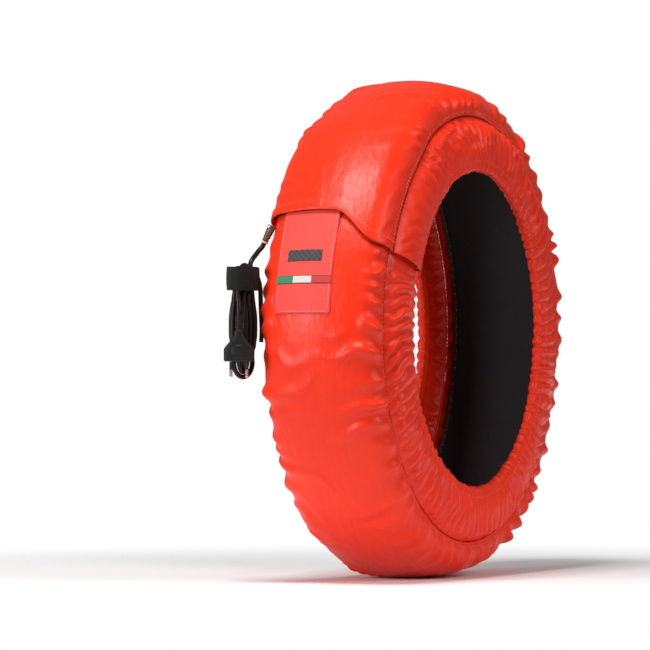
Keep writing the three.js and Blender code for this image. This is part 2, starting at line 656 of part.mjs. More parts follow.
// Lead from the boot's tip to the top of the hank
const entry = new THREE.Vector3(9.2, -11.6, 0);
entry.z = hankTopAt(entry.x - 2, entry.y + 2.4) + 2 * PLY_GAP;
const leadStart = bootTip.clone().addScaledVector(bootAxis, PLY_GAP);
const toWorld = (x, y, z) => hankFrame.localToWorld(new THREE.Vector3(x, y, z));
const leadPoints = [
  leadStart,
  leadStart.clone().addScaledVector(bootAxis, 4),
  toWorld(entry.x + 9.5, entry.y + 15.5, entry.z + 17.5),
  toWorld(entry.x + 5.6, entry.y + 9.2, entry.z + 12),
  toWorld(entry.x + 1.6, entry.y + 2.6, entry.z + 6),
  toWorld(entry.x, entry.y, entry.z + 0.5),
  toWorld(entry.x, entry.y, entry.z),
];
addMesh(group, 'power_lead', tubeThrough(leadPoints, CORD_RADIUS, 10), finishes.cord);

// Lead from under the tie to the plug, in front of the hank
const plugDepth = -(hankHalfSizes(PLUG_FACE).deep + PLY_GAP + PLUG_THICKNESS / 2);
const lastStrandDepth = -(hankHalfSizes(TIE_BOTTOM).deep + PLY_GAP + CORD_RADIUS);
const plugLeadPoints = [
  new THREE.Vector3(PLUG_X - 1, lastStrandDepth, TIE_BOTTOM - PLY_GAP),
  new THREE.Vector3(PLUG_X - 1, lastStrandDepth, TIE_BOTTOM - 6),
  new THREE.Vector3(PLUG_X - 0.5, (lastStrandDepth + plugDepth) / 2, (TIE_BOTTOM + PLUG_TOP) / 2),
  new THREE.Vector3(PLUG_X, plugDepth, PLUG_TOP + 6),
  new THREE.Vector3(PLUG_X, plugDepth, PLUG_TOP + PLY_GAP),
];
addMesh(hankFrame, 'plug_lead', tubeThrough(plugLeadPoints, CORD_RADIUS, 10), finishes.cord);

// Plug with its two pins
const plugFrame = new THREE.Group();
plugFrame.position.set(PLUG_X, plugDepth, 0);
hankFrame.add(plugFrame);
addMesh(plugFrame, 'plug_body', plugGeometry(), finishes.plug);
for (const [name, side] of [['plug_pin_left', -1], ['plug_pin_right', 1]]) {
  const pin = addMesh(plugFrame, name, pinGeometry(), finishes.metal);
  pin.position.x = (side * PIN_SPACING) / 2;
}

export default group;
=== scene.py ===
"""Looks of a padded motorcycle tyre warmer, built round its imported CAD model.

Lengths in the shape classes are millimetres and angles are degrees; meshes are written in metres.
"""

import logging
import math
from dataclasses import dataclass, field
from enum import Enum
from typing import Callable, Mapping, Sequence

import bmesh
import bpy
import numpy as np
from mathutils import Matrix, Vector


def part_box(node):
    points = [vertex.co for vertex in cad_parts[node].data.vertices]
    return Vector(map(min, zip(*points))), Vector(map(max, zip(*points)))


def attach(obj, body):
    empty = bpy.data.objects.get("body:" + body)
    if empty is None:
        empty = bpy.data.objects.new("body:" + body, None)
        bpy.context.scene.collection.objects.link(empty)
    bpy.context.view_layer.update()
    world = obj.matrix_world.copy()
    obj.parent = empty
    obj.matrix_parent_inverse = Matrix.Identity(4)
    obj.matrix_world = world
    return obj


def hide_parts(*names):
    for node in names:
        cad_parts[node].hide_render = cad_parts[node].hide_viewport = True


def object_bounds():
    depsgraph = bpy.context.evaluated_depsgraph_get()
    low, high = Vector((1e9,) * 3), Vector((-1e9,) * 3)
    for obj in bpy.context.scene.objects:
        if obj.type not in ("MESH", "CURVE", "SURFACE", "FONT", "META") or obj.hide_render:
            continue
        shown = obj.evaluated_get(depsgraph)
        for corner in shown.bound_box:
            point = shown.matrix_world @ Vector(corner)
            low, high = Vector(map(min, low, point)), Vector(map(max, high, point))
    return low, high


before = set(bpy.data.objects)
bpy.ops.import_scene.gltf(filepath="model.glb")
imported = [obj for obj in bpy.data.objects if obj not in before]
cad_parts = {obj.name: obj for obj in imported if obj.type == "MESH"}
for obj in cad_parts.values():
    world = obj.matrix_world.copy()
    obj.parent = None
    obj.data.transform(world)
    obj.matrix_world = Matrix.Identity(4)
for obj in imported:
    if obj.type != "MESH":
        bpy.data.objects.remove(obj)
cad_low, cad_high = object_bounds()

Array = np.ndarray
MM = 0.001
LOG = logging.getLogger("tyre_warmer")


class Slot(Enum):
    """Material slots of the record."""

    SHELL = "shell_fabric"
    TAB = "tab_fabric"
    LINING = "lining_fabric"
    FELT = "felt"
    HEATER = "heater"
    ELASTIC = "elastic"
    HOOK_LOOP = "hook_and_loop"
    RIBBON = "ribbon"
    LABEL = "label_weave"
    BOOT = "boot_rubber"
    RING = "boot_ring"
    METAL = "bright_metal"
    CORD = "cord_jacket"
    PLASTIC = "black_plastic"


def smoothstep(low: float | Array, high: float | Array, value: float | Array) -> Array:
    """Rises from 0 at low to 1 at high as t * t * (3 - 2t)."""
    share = np.clip((value - low) / (high - low), 0.0, 1.0)
    return share * share * (3.0 - 2.0 * share)


class SoftNoise:
    """Smooth random field between -1 and 1 on a plane, from a seeded lattice of values."""

    def __init__(self, seed: int) -> None:
        """Draws the lattice.

        Args:
            seed: The random generator's seed.
        """
        self.lattice = np.random.default_rng(seed).uniform(-1.0, 1.0, (512, 64))

    def at(self, x: Array, y: Array | float) -> Array:
        """Blends the four lattice values round (x, y) by 6t^5 - 15t^4 + 10t^3 along each side.

        Args:
            x: Place along the lattice's long side, one unit a cell.
            y: Place along its short side.

        Returns:
            The field's values.
        """
        x, y = np.broadcast_arrays(np.asarray(x, float), np.asarray(y, float))
        i, j = np.floor(x).astype(int), np.floor(y).astype(int)
        s, t = x - i, y - j
        s = s**3 * (s * (6 * s - 15) + 10)
        t = t**3 * (t * (6 * t - 15) + 10)
        value = lambda a, b: self.lattice[a % 512, b % 64]
        low = value(i, j) * (1 - s) + value(i + 1, j) * s
        high = value(i, j + 1) * (1 - s) + value(i + 1, j + 1) * s
        return low * (1 - t) + high * t


# Surfaces on a grid


def grid_normals(points: Array) -> Array:
    """Unit normals of a grid of points: the cross product of its two directions of steps."""
    down = np.gradient(points, axis=0)
    across = np.gradient(points, axis=1)
    normal = np.cross(down, across)
    return normal / np.maximum(np.linalg.norm(normal, axis=-1, keepdims=True), 1e-9)


@dataclass
class GridSurface:
    """A surface known on a grid of two parameters, with its outward side."""

    rows: Array
    columns: Array
    points: Array
    outward: float = 1.0

    def normals(self) -> Array:
        """Unit normals that point outwards."""
        return self.outward * grid_normals(self.points)

    def at(self, row: Array, column: Array) -> tuple[Array, Array]:
        """Points and normals at parameters, blended linearly between the grid's corners.

        Args:
            row: Values of the first parameter.
            column: Values of the second parameter.

        Returns:
            The points and the unit normals.
        """
        row, column = np.broadcast_arrays(np.asarray(row, float), np.asarray(column, float))
        i = np.clip(np.searchsorted(self.rows, row) - 1, 0, len(self.rows) - 2)
        j = np.clip(np.searchsorted(self.columns, column) - 1, 0, len(self.columns) - 2)
        s = ((row - self.rows[i]) / (self.rows[i + 1] - self.rows[i]))[..., None]
        t = ((column - self.columns[j]) / (self.columns[j + 1] - self.columns[j]))[..., None]
        found = []
        for grid in (self.points, self.normals()):
            low = grid[i, j] * (1 - s) + grid[i + 1, j] * s
            high = grid[i, j + 1] * (1 - s) + grid[i + 1, j + 1] * s
            found.append(low * (1 - t) + high * t)
        return found[0], found[1] / np.linalg.norm(found[1], axis=-1, keepdims=True)


def grid_faces(rows: int, columns: int, first: int = 0, round_columns: bool = False) -> Array:
    """Four-cornered faces of a grid that is stored row by row.

    Args:
        rows: Number of rows of points.
        columns: Number of points in a row.
        first: Index of the grid's first point.
        round_columns: True if a row's last point joins its first.

    Returns:
        The faces, one a line.
    """
    last = columns if round_columns else columns - 1
    row, column = np.meshgrid(np.arange(rows - 1), np.arange(last), indexing="ij")
    following = (column + 1) % columns
    a, b = row * columns + column, row * columns + following
    return first + np.stack([a, b, b + columns, a + columns], axis=-1).reshape(-1, 4)


def shell_faces(rows: int, columns: int) -> Array:
    """Faces of a closed sheet: its outer grid, then its inner grid, and the rim between them."""
    layer = rows * columns
    outer = grid_faces(rows, columns)
    inner = grid_faces(rows, columns, layer)[:, ::-1]
    edge = np.concatenate([
        np.arange(columns),
        np.arange(1, rows) * columns + columns - 1,
        (rows - 1) * columns + np.arange(columns - 2, -1, -1),
        np.arange(rows - 2, 0, -1) * columns,
    ])
    onward = np.roll(edge, -1)
    rim = np.stack([onward, edge, edge + layer, onward + layer], axis=-1)
    return np.concatenate([outer, inner, rim])


def swept_frames(path: Array, up: Array) -> tuple[Array, Array, Array]:
    """Unit tangents and two unit normals along a path, the first one as near to up as it can be."""
    tangent = np.gradient(path, axis=0)
    tangent /= np.linalg.norm(tangent, axis=1, keepdims=True)
    first = up - tangent * np.sum(up * tangent, axis=1, keepdims=True)
    first /= np.linalg.norm(first, axis=1, keepdims=True)
    return tangent, first, np.cross(tangent, first)


def smooth_path(points: Sequence[Sequence[float]], step: float) -> Array:
    """A centripetal Catmull-Rom curve through points, at even steps of length.

    Args:
        points: The points that it passes.
        step: Length of a step.

    Returns:
        The curve's points.
    """
    corners = np.array(points, float)
    corners = np.vstack([2 * corners[0] - corners[1], corners, 2 * corners[-1] - corners[-2]])
    pieces = []
    for a, b, c, d in zip(corners, corners[1:], corners[2:], corners[3:]):
        knots = np.cumsum([0, *(np.linalg.norm(q - p) ** 0.5 for p, q in ((a, b), (b, c), (c, d)))])
        t = np.linspace(knots[1], knots[2], 40)[:, None]
        blend = lambda p, q, i, j: ((knots[j] - t) * p + (t - knots[i]) * q) / (knots[j] - knots[i])
        first, second, third = blend(a, b, 0, 1), blend(b, c, 1, 2), blend(c, d, 2, 3)
        pieces.append(blend(blend(first, second, 0, 2), blend(second, third, 1, 3), 1, 2))
    return even_steps(np.vstack(pieces), step)


def even_steps(line: Array, step: float) -> Array:
    """The same line with points at even steps of its length."""
    gaps = np.linalg.norm(np.diff(line, axis=0), axis=1)
    kept = np.concatenate([[True], gaps > 1e-6])
    line = line[kept]
    along = np.concatenate([[0.0], np.cumsum(np.linalg.norm(np.diff(line, axis=0), axis=1))])
    count = max(2, int(round(along[-1] / step)) + 1)
    wanted = np.linspace(0.0, along[-1], count)
    return np.stack([np.interp(wanted, along, line[:, axis]) for axis in range(3)], axis=1)


# Shader trees


class Wire:
    """One output of a shader node, with the sums that the finishes write."""

    def __init__(self, tree: "FinishTree", socket: bpy.types.NodeSocket) -> None:
        """Keeps the tree and the socket."""
        self.tree = tree
        self.socket = socket

    def _sum(self, operation: str, first: object, second: object) -> "Wire":
        """A Math node on two values."""
        return self.tree.math(operation, first, second)

    def __add__(self, other: object) -> "Wire":
        """Wire plus a value."""
        return self._sum("ADD", self, other)

    def __radd__(self, other: object) -> "Wire":
        """A value plus the wire."""
        return self._sum("ADD", other, self)

    def __sub__(self, other: object) -> "Wire":
        """Wire minus a value."""
        return self._sum("SUBTRACT", self, other)

    def __rsub__(self, other: object) -> "Wire":
        """A value minus the wire."""
        return self._sum("SUBTRACT", other, self)

    def __mul__(self, other: object) -> "Wire":
        """Wire times a value."""
        return self._sum("MULTIPLY", self, other)

    def __rmul__(self, other: object) -> "Wire":
        """A value times the wire."""
        return self._sum("MULTIPLY", other, self)

    def __truediv__(self, other: object) -> "Wire":
        """Wire over a value."""
        return self._sum("DIVIDE", self, other)

    def __pow__(self, other: object) -> "Wire":
        """Wire to a power."""
        return self._sum("POWER", self, other)


class FinishTree:
    """The node tree of one material, whose surface is a Principled shader."""

    def __init__(self, name: str) -> None:
        """Makes the material.

        Args:
            name: Its name.
        """
        self.material = bpy.data.materials.new(name)
        self.material.use_nodes = True
        self.nodes = self.material.node_tree.nodes
        self.links = self.material.node_tree.links
        self.surface = self.nodes["Principled BSDF"]
        self.result = self.nodes["Material Output"]

    def plug(self, socket: bpy.types.NodeSocket, value: object) -> None:
        """Links a wire to a socket, or sets the socket's value."""
        if isinstance(value, Wire):
            self.links.new(value.socket, socket)
        else:
            socket.default_value = value

    def node(
        self,
        kind: str,
        settings: Mapping[str, object] | None = None,
        sockets: Mapping[str | int, object] | None = None,
        output: str | int = 0,
    ) -> Wire:
        """Adds a node.

        Args:
            kind: The node's type.
            settings: Its settings, set first; stops are a ramp's places and colours.
            sockets: Values or wires of its inputs.
            output: The output that is wanted.

        Returns:
            That output.
        """
        made = self.nodes.new(kind)
        for key, value in (settings or {}).items():
            if key == "stops":
                made.color_ramp.interpolation = "CONSTANT"
                elements = made.color_ramp.elements
                for place, _ in value[2:]:
                    elements.new(place)
                for element, (place, colour) in zip(elements, value):
                    element.position, element.color = place, colour
            else:
                setattr(made, key, value)
        for key, value in (sockets or {}).items():
            self.plug(made.inputs[key], value)
        return Wire(self, made.outputs[output])

    def math(self, operation: str, first: object, second: object = 0.0) -> Wire:
        """A Math node."""
        return self.node("ShaderNodeMath", {"operation": operation}, {0: first, 1: second})

    def limit(self, value: Wire) -> Wire:
        """The value kept between 0 and 1."""
        return self.node("ShaderNodeClamp", None, {0: value})

    def step(self, value: Wire, low: float, high: float) -> Wire:
        """Smooth step from 0 at low to 1 at high."""
        settings = {"interpolation_type": "SMOOTHSTEP"}
        return self.node("ShaderNodeMapRange", settings, {0: value, 1: low, 2: high})

    def place(self, kind: str = "Object") -> Wire:
        """Object coordinates or the piece's UV map."""
        return self.node("ShaderNodeTexCoord", output=kind)

    def scaled(self, vector: Wire, scale: Sequence[float]) -> Wire:
        """The vector times a scale along each axis."""
        return self.node("ShaderNodeMapping", None, {"Vector": vector, "Scale": tuple(scale)})

    def part(self, vector: Wire, axis: str) -> Wire:
        """One part of a vector."""
        return self.node("ShaderNodeSeparateXYZ", None, {0: vector}, axis)

    def noise(self, vector: Wire, scale: float, detail: float = 3.0, rough: float = 0.5) -> Wire:
        """Noise between 0 and 1."""
        sockets = {"Vector": vector, "Scale": scale, "Detail": detail, "Roughness": rough}
        return self.node("ShaderNodeTexNoise", None, sockets)

    def blend(self, factor: object, first: object, second: object) -> Wire:
        """Two colours mixed by a factor."""
        settings = {"data_type": "RGBA"}
        return self.node("ShaderNodeMix", settings, {0: factor, 6: first, 7: second}, 2)

    def weave(self, vector: Wire, pitch: float) -> Wire:
        """Plain weave: threads along U where sin(u)sin(v) is above 0 and along V elsewhere.

        Args:
            vector: Coordinates in metres.
            pitch: Distance between threads, in metres.

        Returns:
            A height between -1 and 1.
        """
        turns = math.pi / pitch
        u = self.math("SINE", self.part(vector, "X") * turns)
        v = self.math("SINE", self.part(vector, "Y") * turns)
        return u * v

    def bump(self, height: Wire, distance: float, strength: float = 1.0, under: Wire | None = None) -> Wire:
        """A Bump node of a height, in metres at a height of 1."""
        sockets = {"Height": height, "Distance": distance, "Strength": strength}
        if under is not None:
            sockets["Normal"] = under
        return self.node("ShaderNodeBump", None, sockets)

    def dress(self, sockets: Mapping[str, object]) -> None:
        """Sets or links the Principled shader's sockets."""
        for key, value in sockets.items():
            self.plug(self.surface.inputs[key], value)


def linear(red: float, green: float, blue: float) -> tuple[float, float, float, float]:
    """A colour given as 0 to 255 on a screen, as linear light: ((c + 0.055) / 1.055)^2.4."""
    shares = [value / 255.0 for value in (red, green, blue)]
    light = [c / 12.92 if c <= 0.04045 else ((c + 0.055) / 1.055) ** 2.4 for c in shares]
    return (*light, 1.0)


@dataclass(frozen=True)
class CoatedCloth:
    """Coated nylon: a satin skin over a fine weave, with small creases."""

    name: str
    colour: tuple[float, float, float, float]
    shade: tuple[float, float, float, float]
    roughness: float = 0.36
    creases: float = 1.0
    sheen: float = 0.03

    def make(self) -> bpy.types.Material:
        """The cloth's material."""
        tree = FinishTree(self.name)
        uv, place = tree.place("UV"), tree.place()
        cloud = tree.noise(place, 9.0, 2.0)
        mottle = tree.noise(place, 160.0, 3.0, 0.6)
        colour = tree.blend(tree.limit(cloud * 0.7 + mottle * 0.5 - 0.15), self.shade, self.colour)
        weave = tree.weave(uv, 0.0008)
        soft = tree.noise(tree.scaled(uv, (60.0, 26.0, 1.0)), 1.0, 3.0, 0.55)
        fine = tree.noise(tree.scaled(uv, (190.0, 90.0, 1.0)), 1.0, 2.0, 0.5)
        normal = tree.bump(soft, 0.0022 * self.creases, 0.7)
        normal = tree.bump(fine, 0.0005 * self.creases, 0.5, normal)
        normal = tree.bump(weave, 0.00006, 0.5, normal)
        rough = mottle * 0.16 + (self.roughness - 0.08)
        tree.dress({
            "Base Color": colour, "Roughness": rough, "Normal": normal,
            "Specular IOR Level": 0.3, "Sheen Weight": self.sheen, "Sheen Roughness": 0.45,
            "Sheen Tint": (1.0, 0.45, 0.35, 1.0),
        })
        return tree.material


@dataclass(frozen=True)
class WovenCloth:
    """Matt woven or felted cloth with threads that show close up."""

    name: str
    colour: tuple[float, float, float, float]
    shade: tuple[float, float, float, float]
    pitch: float = 0.0012
    roughness: float = 0.85
    fuzz: float = 0.0
    sheen: float = 0.05

    def make(self) -> bpy.types.Material:
        """The cloth's material."""
        tree = FinishTree(self.name)
        uv, place = tree.place("UV"), tree.place()
        grain = tree.noise(place, 420.0, 3.0, 0.65)
        cloud = tree.noise(place, 14.0, 2.0)
        weave = tree.weave(uv, self.pitch)
        amount = tree.limit(grain * 0.6 + cloud * 0.4 + weave * 0.12)
        normal = tree.bump(weave, self.pitch * 0.22, 0.7)
        normal = tree.bump(grain, 0.0004 + 0.0012 * self.fuzz, 0.6, normal)
        tree.dress({
            "Base Color": tree.blend(amount, self.shade, self.colour),
            "Roughness": grain * 0.12 + (self.roughness - 0.06), "Normal": normal,
            "Sheen Weight": self.sheen, "Sheen Roughness": 0.6, "Specular IOR Level": 0.2,
        })
        return tree.material


@dataclass(frozen=True)
class HeatingBlanket:
    """Woven blanket with a heating wire that runs to and fro."""

    name: str = "heating_blanket"

    def make(self) -> bpy.types.Material:
        """The blanket's material."""
        tree = FinishTree(self.name)
        uv = tree.place("UV")
        wave = tree.math("SINE", tree.part(uv, "Y") * (math.pi / 0.006))
        wire = tree.step(wave, 0.82, 0.97)
        weave = tree.weave(uv, 0.0015)
        cloth = tree.blend(tree.limit(weave * 0.3 + 0.5), linear(72, 50, 36), linear(92, 66, 48))
        tree.dress({
            "Base Color": tree.blend(wire, cloth, linear(176, 96, 48)),
            "Roughness": 0.8 - wire * 0.35,
            "Normal": tree.bump(weave * 0.3 + wire, 0.0006, 0.8),
        })
        return tree.material


@dataclass(frozen=True)
class StripedRibbon:
    """Woven ribbon in three equal fields along its length, with a dark thread at each edge."""

    name: str = "striped_ribbon"

    def make(self) -> bpy.types.Material:
        """The ribbon's material. U is the share of its length and V the share of its height."""
        tree = FinishTree(self.name)
        uv = tree.place("UV")
        u, v = tree.part(uv, "X"), tree.part(uv, "Y")
        stops = [
            (0.0, linear(10, 132, 84)), (0.335, linear(212, 210, 204)), (0.665, linear(196, 44, 42)),
        ]
        colour = tree.node("ShaderNodeValToRGB", {"stops": stops}, {0: u})
        edge = tree.limit(tree.step(tree.math("ABSOLUTE", v - 0.5), 0.40, 0.46))
        threads = tree.weave(tree.scaled(uv, (0.075, 0.0095, 1.0)), 0.0007)
        tree.dress({
            "Base Color": tree.blend(edge, colour, linear(60, 18, 16)),
            "Roughness": tree.limit(threads * 0.1 + 0.62),
            "Normal": tree.bump(threads, 0.00016, 0.8),
            "Sheen Weight": 0.2,
        })
        return tree.material


@dataclass(frozen=True)
class CheckLabel:
    """Plain woven label with a small check of two near blacks and a bound edge."""

    name: str = "check_label"

    def make(self) -> bpy.types.Material:
        """The label's material. U and V are in metres."""
        tree = FinishTree(self.name)
        uv = tree.place("UV")
        check = tree.node("ShaderNodeTexChecker", None, {"Vector": uv, "Scale": 1 / 0.0035}, 1)
        weave = tree.weave(uv, 0.0007)
        tree.dress({
            "Base Color": tree.blend(check, linear(26, 24, 24), linear(66, 60, 60)),
            "Roughness": tree.limit(check * 0.18 + weave * 0.08 + 0.5),
            "Normal": tree.bump(weave + check * 0.6, 0.00018, 0.8),
            "Sheen Weight": 0.3,
        })
        return tree.material


@dataclass(frozen=True)
class MouldedBlack:
    """Moulded black plastic or rubber: a faint grain and rubbed patches."""

    name: str
    colour: tuple[float, float, float, float]
    roughness: float = 0.42
    grain: float = 0.00008
    wear: float = 0.5

    def make(self) -> bpy.types.Material:
        """The moulding's material."""
        tree = FinishTree(self.name)
        place = tree.place()
        fine = tree.noise(place, 900.0, 3.0, 0.6)
        rubbed = tree.step(tree.noise(place, 60.0, 4.0, 0.6), 0.52, 0.72)
        lighter = tuple(min(1.0, c * 1.7 + 0.003) for c in self.colour[:3]) + (1.0,)
        tree.dress({
            "Base Color": tree.blend(rubbed * self.wear, self.colour, lighter),
            "Roughness": fine * 0.12 + rubbed * 0.1 + (self.roughness - 0.06),
            "Normal": tree.bump(fine, self.grain, 0.8), "Specular IOR Level": 0.28,
        })
        return tree.material


@dataclass(frozen=True)
class SmokySleeve:
    """Smoky brown sleeve that lets some light through."""

    name: str = "smoky_sleeve"

    def make(self) -> bpy.types.Material:
        """The sleeve's material."""
        tree = FinishTree(self.name)
        place = tree.place()
        cloud = tree.noise(place, 30.0, 2.0, 0.5)
        tree.dress({
            "Base Color": tree.blend(cloud, linear(58, 34, 22), linear(132, 88, 60)),
            "Roughness": cloud * 0.15 + 0.16,
            "Normal": tree.bump(tree.noise(place, 200.0), 0.00003, 0.5),
            "Transmission Weight": 0.1, "IOR": 1.45, "Coat Weight": 0.4, "Coat Roughness": 0.12,
        })
        return tree.material


@dataclass(frozen=True)
class BrightMetal:
    """Nickel plate with fine scratches and, on the pins, a black sleeve above a height."""

    name: str
    sleeve_above: float | None = None

    def make(self) -> bpy.types.Material:
        """The metal's material."""
        tree = FinishTree(self.name)
        place = tree.place()
        scratches = tree.noise(tree.scaled(place, (900.0, 900.0, 90.0)), 1.0, 3.0, 0.6)
        colour, rough, metal = linear(222, 219, 212), scratches * 0.2 + 0.12, 1.0
        if self.sleeve_above is not None:
            low, high = self.sleeve_above, self.sleeve_above + 0.0005
            sleeve = tree.step(tree.part(place, "Z"), low, high)
            colour = tree.blend(sleeve, colour, linear(24, 22, 22))
            rough = rough * (1.0 - sleeve) + sleeve * 0.45
            metal = 1.0 - sleeve
        tree.dress({
            "Base Color": colour, "Roughness": rough, "Metallic": metal,
            "Normal": tree.bump(scratches, 0.00003, 0.6),
        })
        return tree.material


Finish = (
    CoatedCloth | WovenCloth | HeatingBlanket | StripedRibbon | CheckLabel | MouldedBlack | SmokySleeve | BrightMetal
)


class Wardrobe:
    """Makes each finish once and hands it out."""

    def __init__(self) -> None:
        """Starts empty."""
        self.made: dict[str, bpy.types.Material] = {}

    def get(self, finish: Finish) -> bpy.types.Material:
        """The material of a finish."""
        if finish.name not in self.made:
            self.made[finish.name] = finish.make()
        return self.made[finish.name]


WARDROBE = Wardrobe()
SHELL_CLOTH = CoatedCloth("shell_cloth", linear(244, 52, 14), linear(230, 40, 10))
TAB_CLOTH = CoatedCloth("tab_cloth", linear(236, 74, 66), linear(228, 64, 56), 0.62, 0.25, 0.3)
SEAM_THREAD = CoatedCloth("seam_thread", linear(250, 122, 98), linear(238, 96, 72), 0.5, 0.0, 0.2)
PALE_THREAD = CoatedCloth("pale_thread", linear(246, 168, 160), linear(238, 140, 132), 0.5, 0.0, 0.3)
LINING_CLOTH = WovenCloth("lining_cloth", linear(50, 49, 52), linear(26, 25, 27))
FELT_CLOTH = WovenCloth("needled_felt", linear(92, 88, 82), linear(66, 63, 58), 0.004, 0.95, 1.0)
HOOK_TAPE = WovenCloth("hook_tape", linear(22, 16, 13), linear(8, 6, 5), 0.0016, 0.92, 0.8)
ELASTIC_COVER = WovenCloth("elastic_cover", linear(214, 208, 196), linear(180, 174, 160), 0.001, 0.8)
CORD_JACKET = MouldedBlack("cord_rubber", linear(15, 13, 12), 0.36, 0.00005, 0.35)
PLUG_PLASTIC = MouldedBlack("plug_plastic", linear(21, 18, 17), 0.46, 0.00012, 0.6)
THERMOSTAT_CASE = MouldedBlack("thermostat_case", linear(70, 46, 30), 0.5, 0.0001, 0.4)
RING_PLASTIC = MouldedBlack("ring_plastic", linear(206, 190, 176), 0.35, 0.00005, 0.2)


# Pieces


def add_mesh(
    name: str, points: Array, faces: Array, finish: Finish, slot: Slot, uv: Array | None = None,
    shaded_flat: bool = False,
) -> bpy.types.Object:
    """Puts points and faces into a new piece that rides on the one body.

    Args:
        name: The piece's name.
        points: Corners in millimetres, in the row frame.
        faces: Indices of each face's corners, the same number in each face.
        finish: The piece's finish.
        slot: Not used.
        uv: Coordinates of each corner for the finish's pattern.
        shaded_flat: True to shade each face flat.

    Returns:
        The piece.
    """
    points = np.ascontiguousarray(points.reshape(-1, 3) * MM, np.float32)
    mesh = bpy.data.meshes.new(name)
    mesh.vertices.add(len(points))
    mesh.vertices.foreach_set("co", points.ravel())
    corners = np.ascontiguousarray(faces, np.int32)
    mesh.loops.add(corners.size)
    mesh.loops.foreach_set("vertex_index", corners.ravel())
    mesh.polygons.add(len(corners))
    starts = np.arange(len(corners), dtype=np.int32) * corners.shape[1]
    mesh.polygons.foreach_set("loop_start", starts)
    mesh.update(calc_edges=True)
    mesh.polygons.foreach_set("use_smooth", np.full(len(corners), not shaded_flat))
    if uv is not None:
        layer = mesh.uv_layers.new(name="cloth")
        flat = np.ascontiguousarray(uv.reshape(-1, 2)[corners.ravel()], np.float32)
        layer.data.foreach_set("uv", flat.ravel())
    mesh.validate()
    piece = bpy.data.objects.new(name, mesh)
    bpy.context.scene.collection.objects.link(piece)
    mesh.materials.append(WARDROBE.get(finish))
    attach(piece, "root")
    LOG.info("%s: %d corners, %d faces", name, len(points), len(corners))
    return piece


def outward_faces(points: Array, faces: Array) -> Array:
    """The faces, turned over if the volume that they hold comes out negative."""
    corners = points.reshape(-1, 3)
    a, b, c = (corners[faces[:, i]] for i in (0, 1, 2))
    volume = np.sum(a * np.cross(b, c))
    if faces.shape[1] == 4:
        volume += np.sum(a * np.cross(c, corners[faces[:, 3]]))
    return faces[:, ::-1] if volume < 0 else faces


def add_shell(
    name: str, outer: Array, inner: Array, finish: Finish, slot: Slot, uv: Array | None = None,
) -> bpy.types.Object:
    """A closed sheet between two grids of points. UV is given for the outer grid and repeats inside."""
    points = np.concatenate([outer.reshape(-1, 3), inner.reshape(-1, 3)])
    faces = outward_faces(points, shell_faces(*outer.shape[:2]))
    both = None if uv is None else np.concatenate([uv.reshape(-1, 2), uv.reshape(-1, 2)])
    return add_mesh(name, points, faces, finish, slot, both)


def add_rings(
    name: str, rings: Array, finish: Finish, slot: Slot, uv: Array | None = None, closed_ends: bool = True,
) -> bpy.types.Object:
    """A tube through rings of points, with its ends closed to their middles.

    Args:
        name: The piece's name.
        rings: Points, one ring a row.
        finish: The piece's finish.
        slot: The record's slot.
        uv: Coordinates of the rings' points.
        closed_ends: False to leave the ends open, as where the rings form a loop.

    Returns:
        The piece.
    """
    rows, sides = rings.shape[:2]
    if closed_ends:
        first = np.repeat(rings[:1].mean(axis=1, keepdims=True), sides, axis=1)
        last = np.repeat(rings[-1:].mean(axis=1, keepdims=True), sides, axis=1)
        rings = np.concatenate([first, rings, last])
        if uv is not None:
            uv = np.concatenate([uv[:1], uv, uv[-1:]])
        rows += 2
    faces = grid_faces(rows, sides, round_columns=True)
    piece = add_mesh(name, rings, outward_faces(rings, faces), finish, slot, uv)
    if closed_ends:
        merge_doubles(piece)
    return piece


def merge_doubles(piece: bpy.types.Object, distance: float = 1e-6) -> None:
    """Joins corners that lie on each other."""
    made = bmesh.new()
    made.from_mesh(piece.data)
    bmesh.ops.remove_doubles(made, verts=made.verts, dist=distance)
    bmesh.ops.dissolve_degenerate(made, edges=made.edges, dist=distance * 0.1)
    made.to_mesh(piece.data)
    made.free()


def ring_points(centres: Array, first: Array, second: Array, radii: Array, sides: int) -> Array:
    """Rings of points round centres: centre + radius * (cos a * first + sin a * second)."""
    angle = np.linspace(0.0, 2 * math.pi, sides, endpoint=False)
    radii = np.asarray(radii, float)[:, None, None]
    round_it = np.cos(angle)[None, :, None] * first[:, None] + np.sin(angle)[None, :, None] * second[:, None]
    return centres[:, None] + radii * round_it


def add_lathe(
    name: str, profile: Sequence[tuple[float, float]], origin: Array, axis: Array,
    finish: Finish, slot: Slot, sides: int = 40,
) -> bpy.types.Object:
    """A turned piece about an axis.

    Args:
        name: The piece's name.
        profile: Radius and height pairs along the axis.
        origin: The foot of the axis.
        axis: The axis, of length 1.
        finish: The piece's finish.
        slot: The record's slot.
        sides: Number of sides.

    Returns:
        The piece.
    """
    radii, heights = np.array(profile, float).T
    helper = np.array([0.0, 0.0, 1.0]) if abs(axis[2]) < 0.9 else np.array([1.0, 0.0, 0.0])
    first = np.cross(axis, helper)
    first /= np.linalg.norm(first)
    second = np.cross(axis, first)
    centres = origin + heights[:, None] * axis
    rings = ring_points(centres, np.tile(first, (len(radii), 1)), np.tile(second, (len(radii), 1)), radii, sides)
    return add_rings(name, rings, finish, slot)


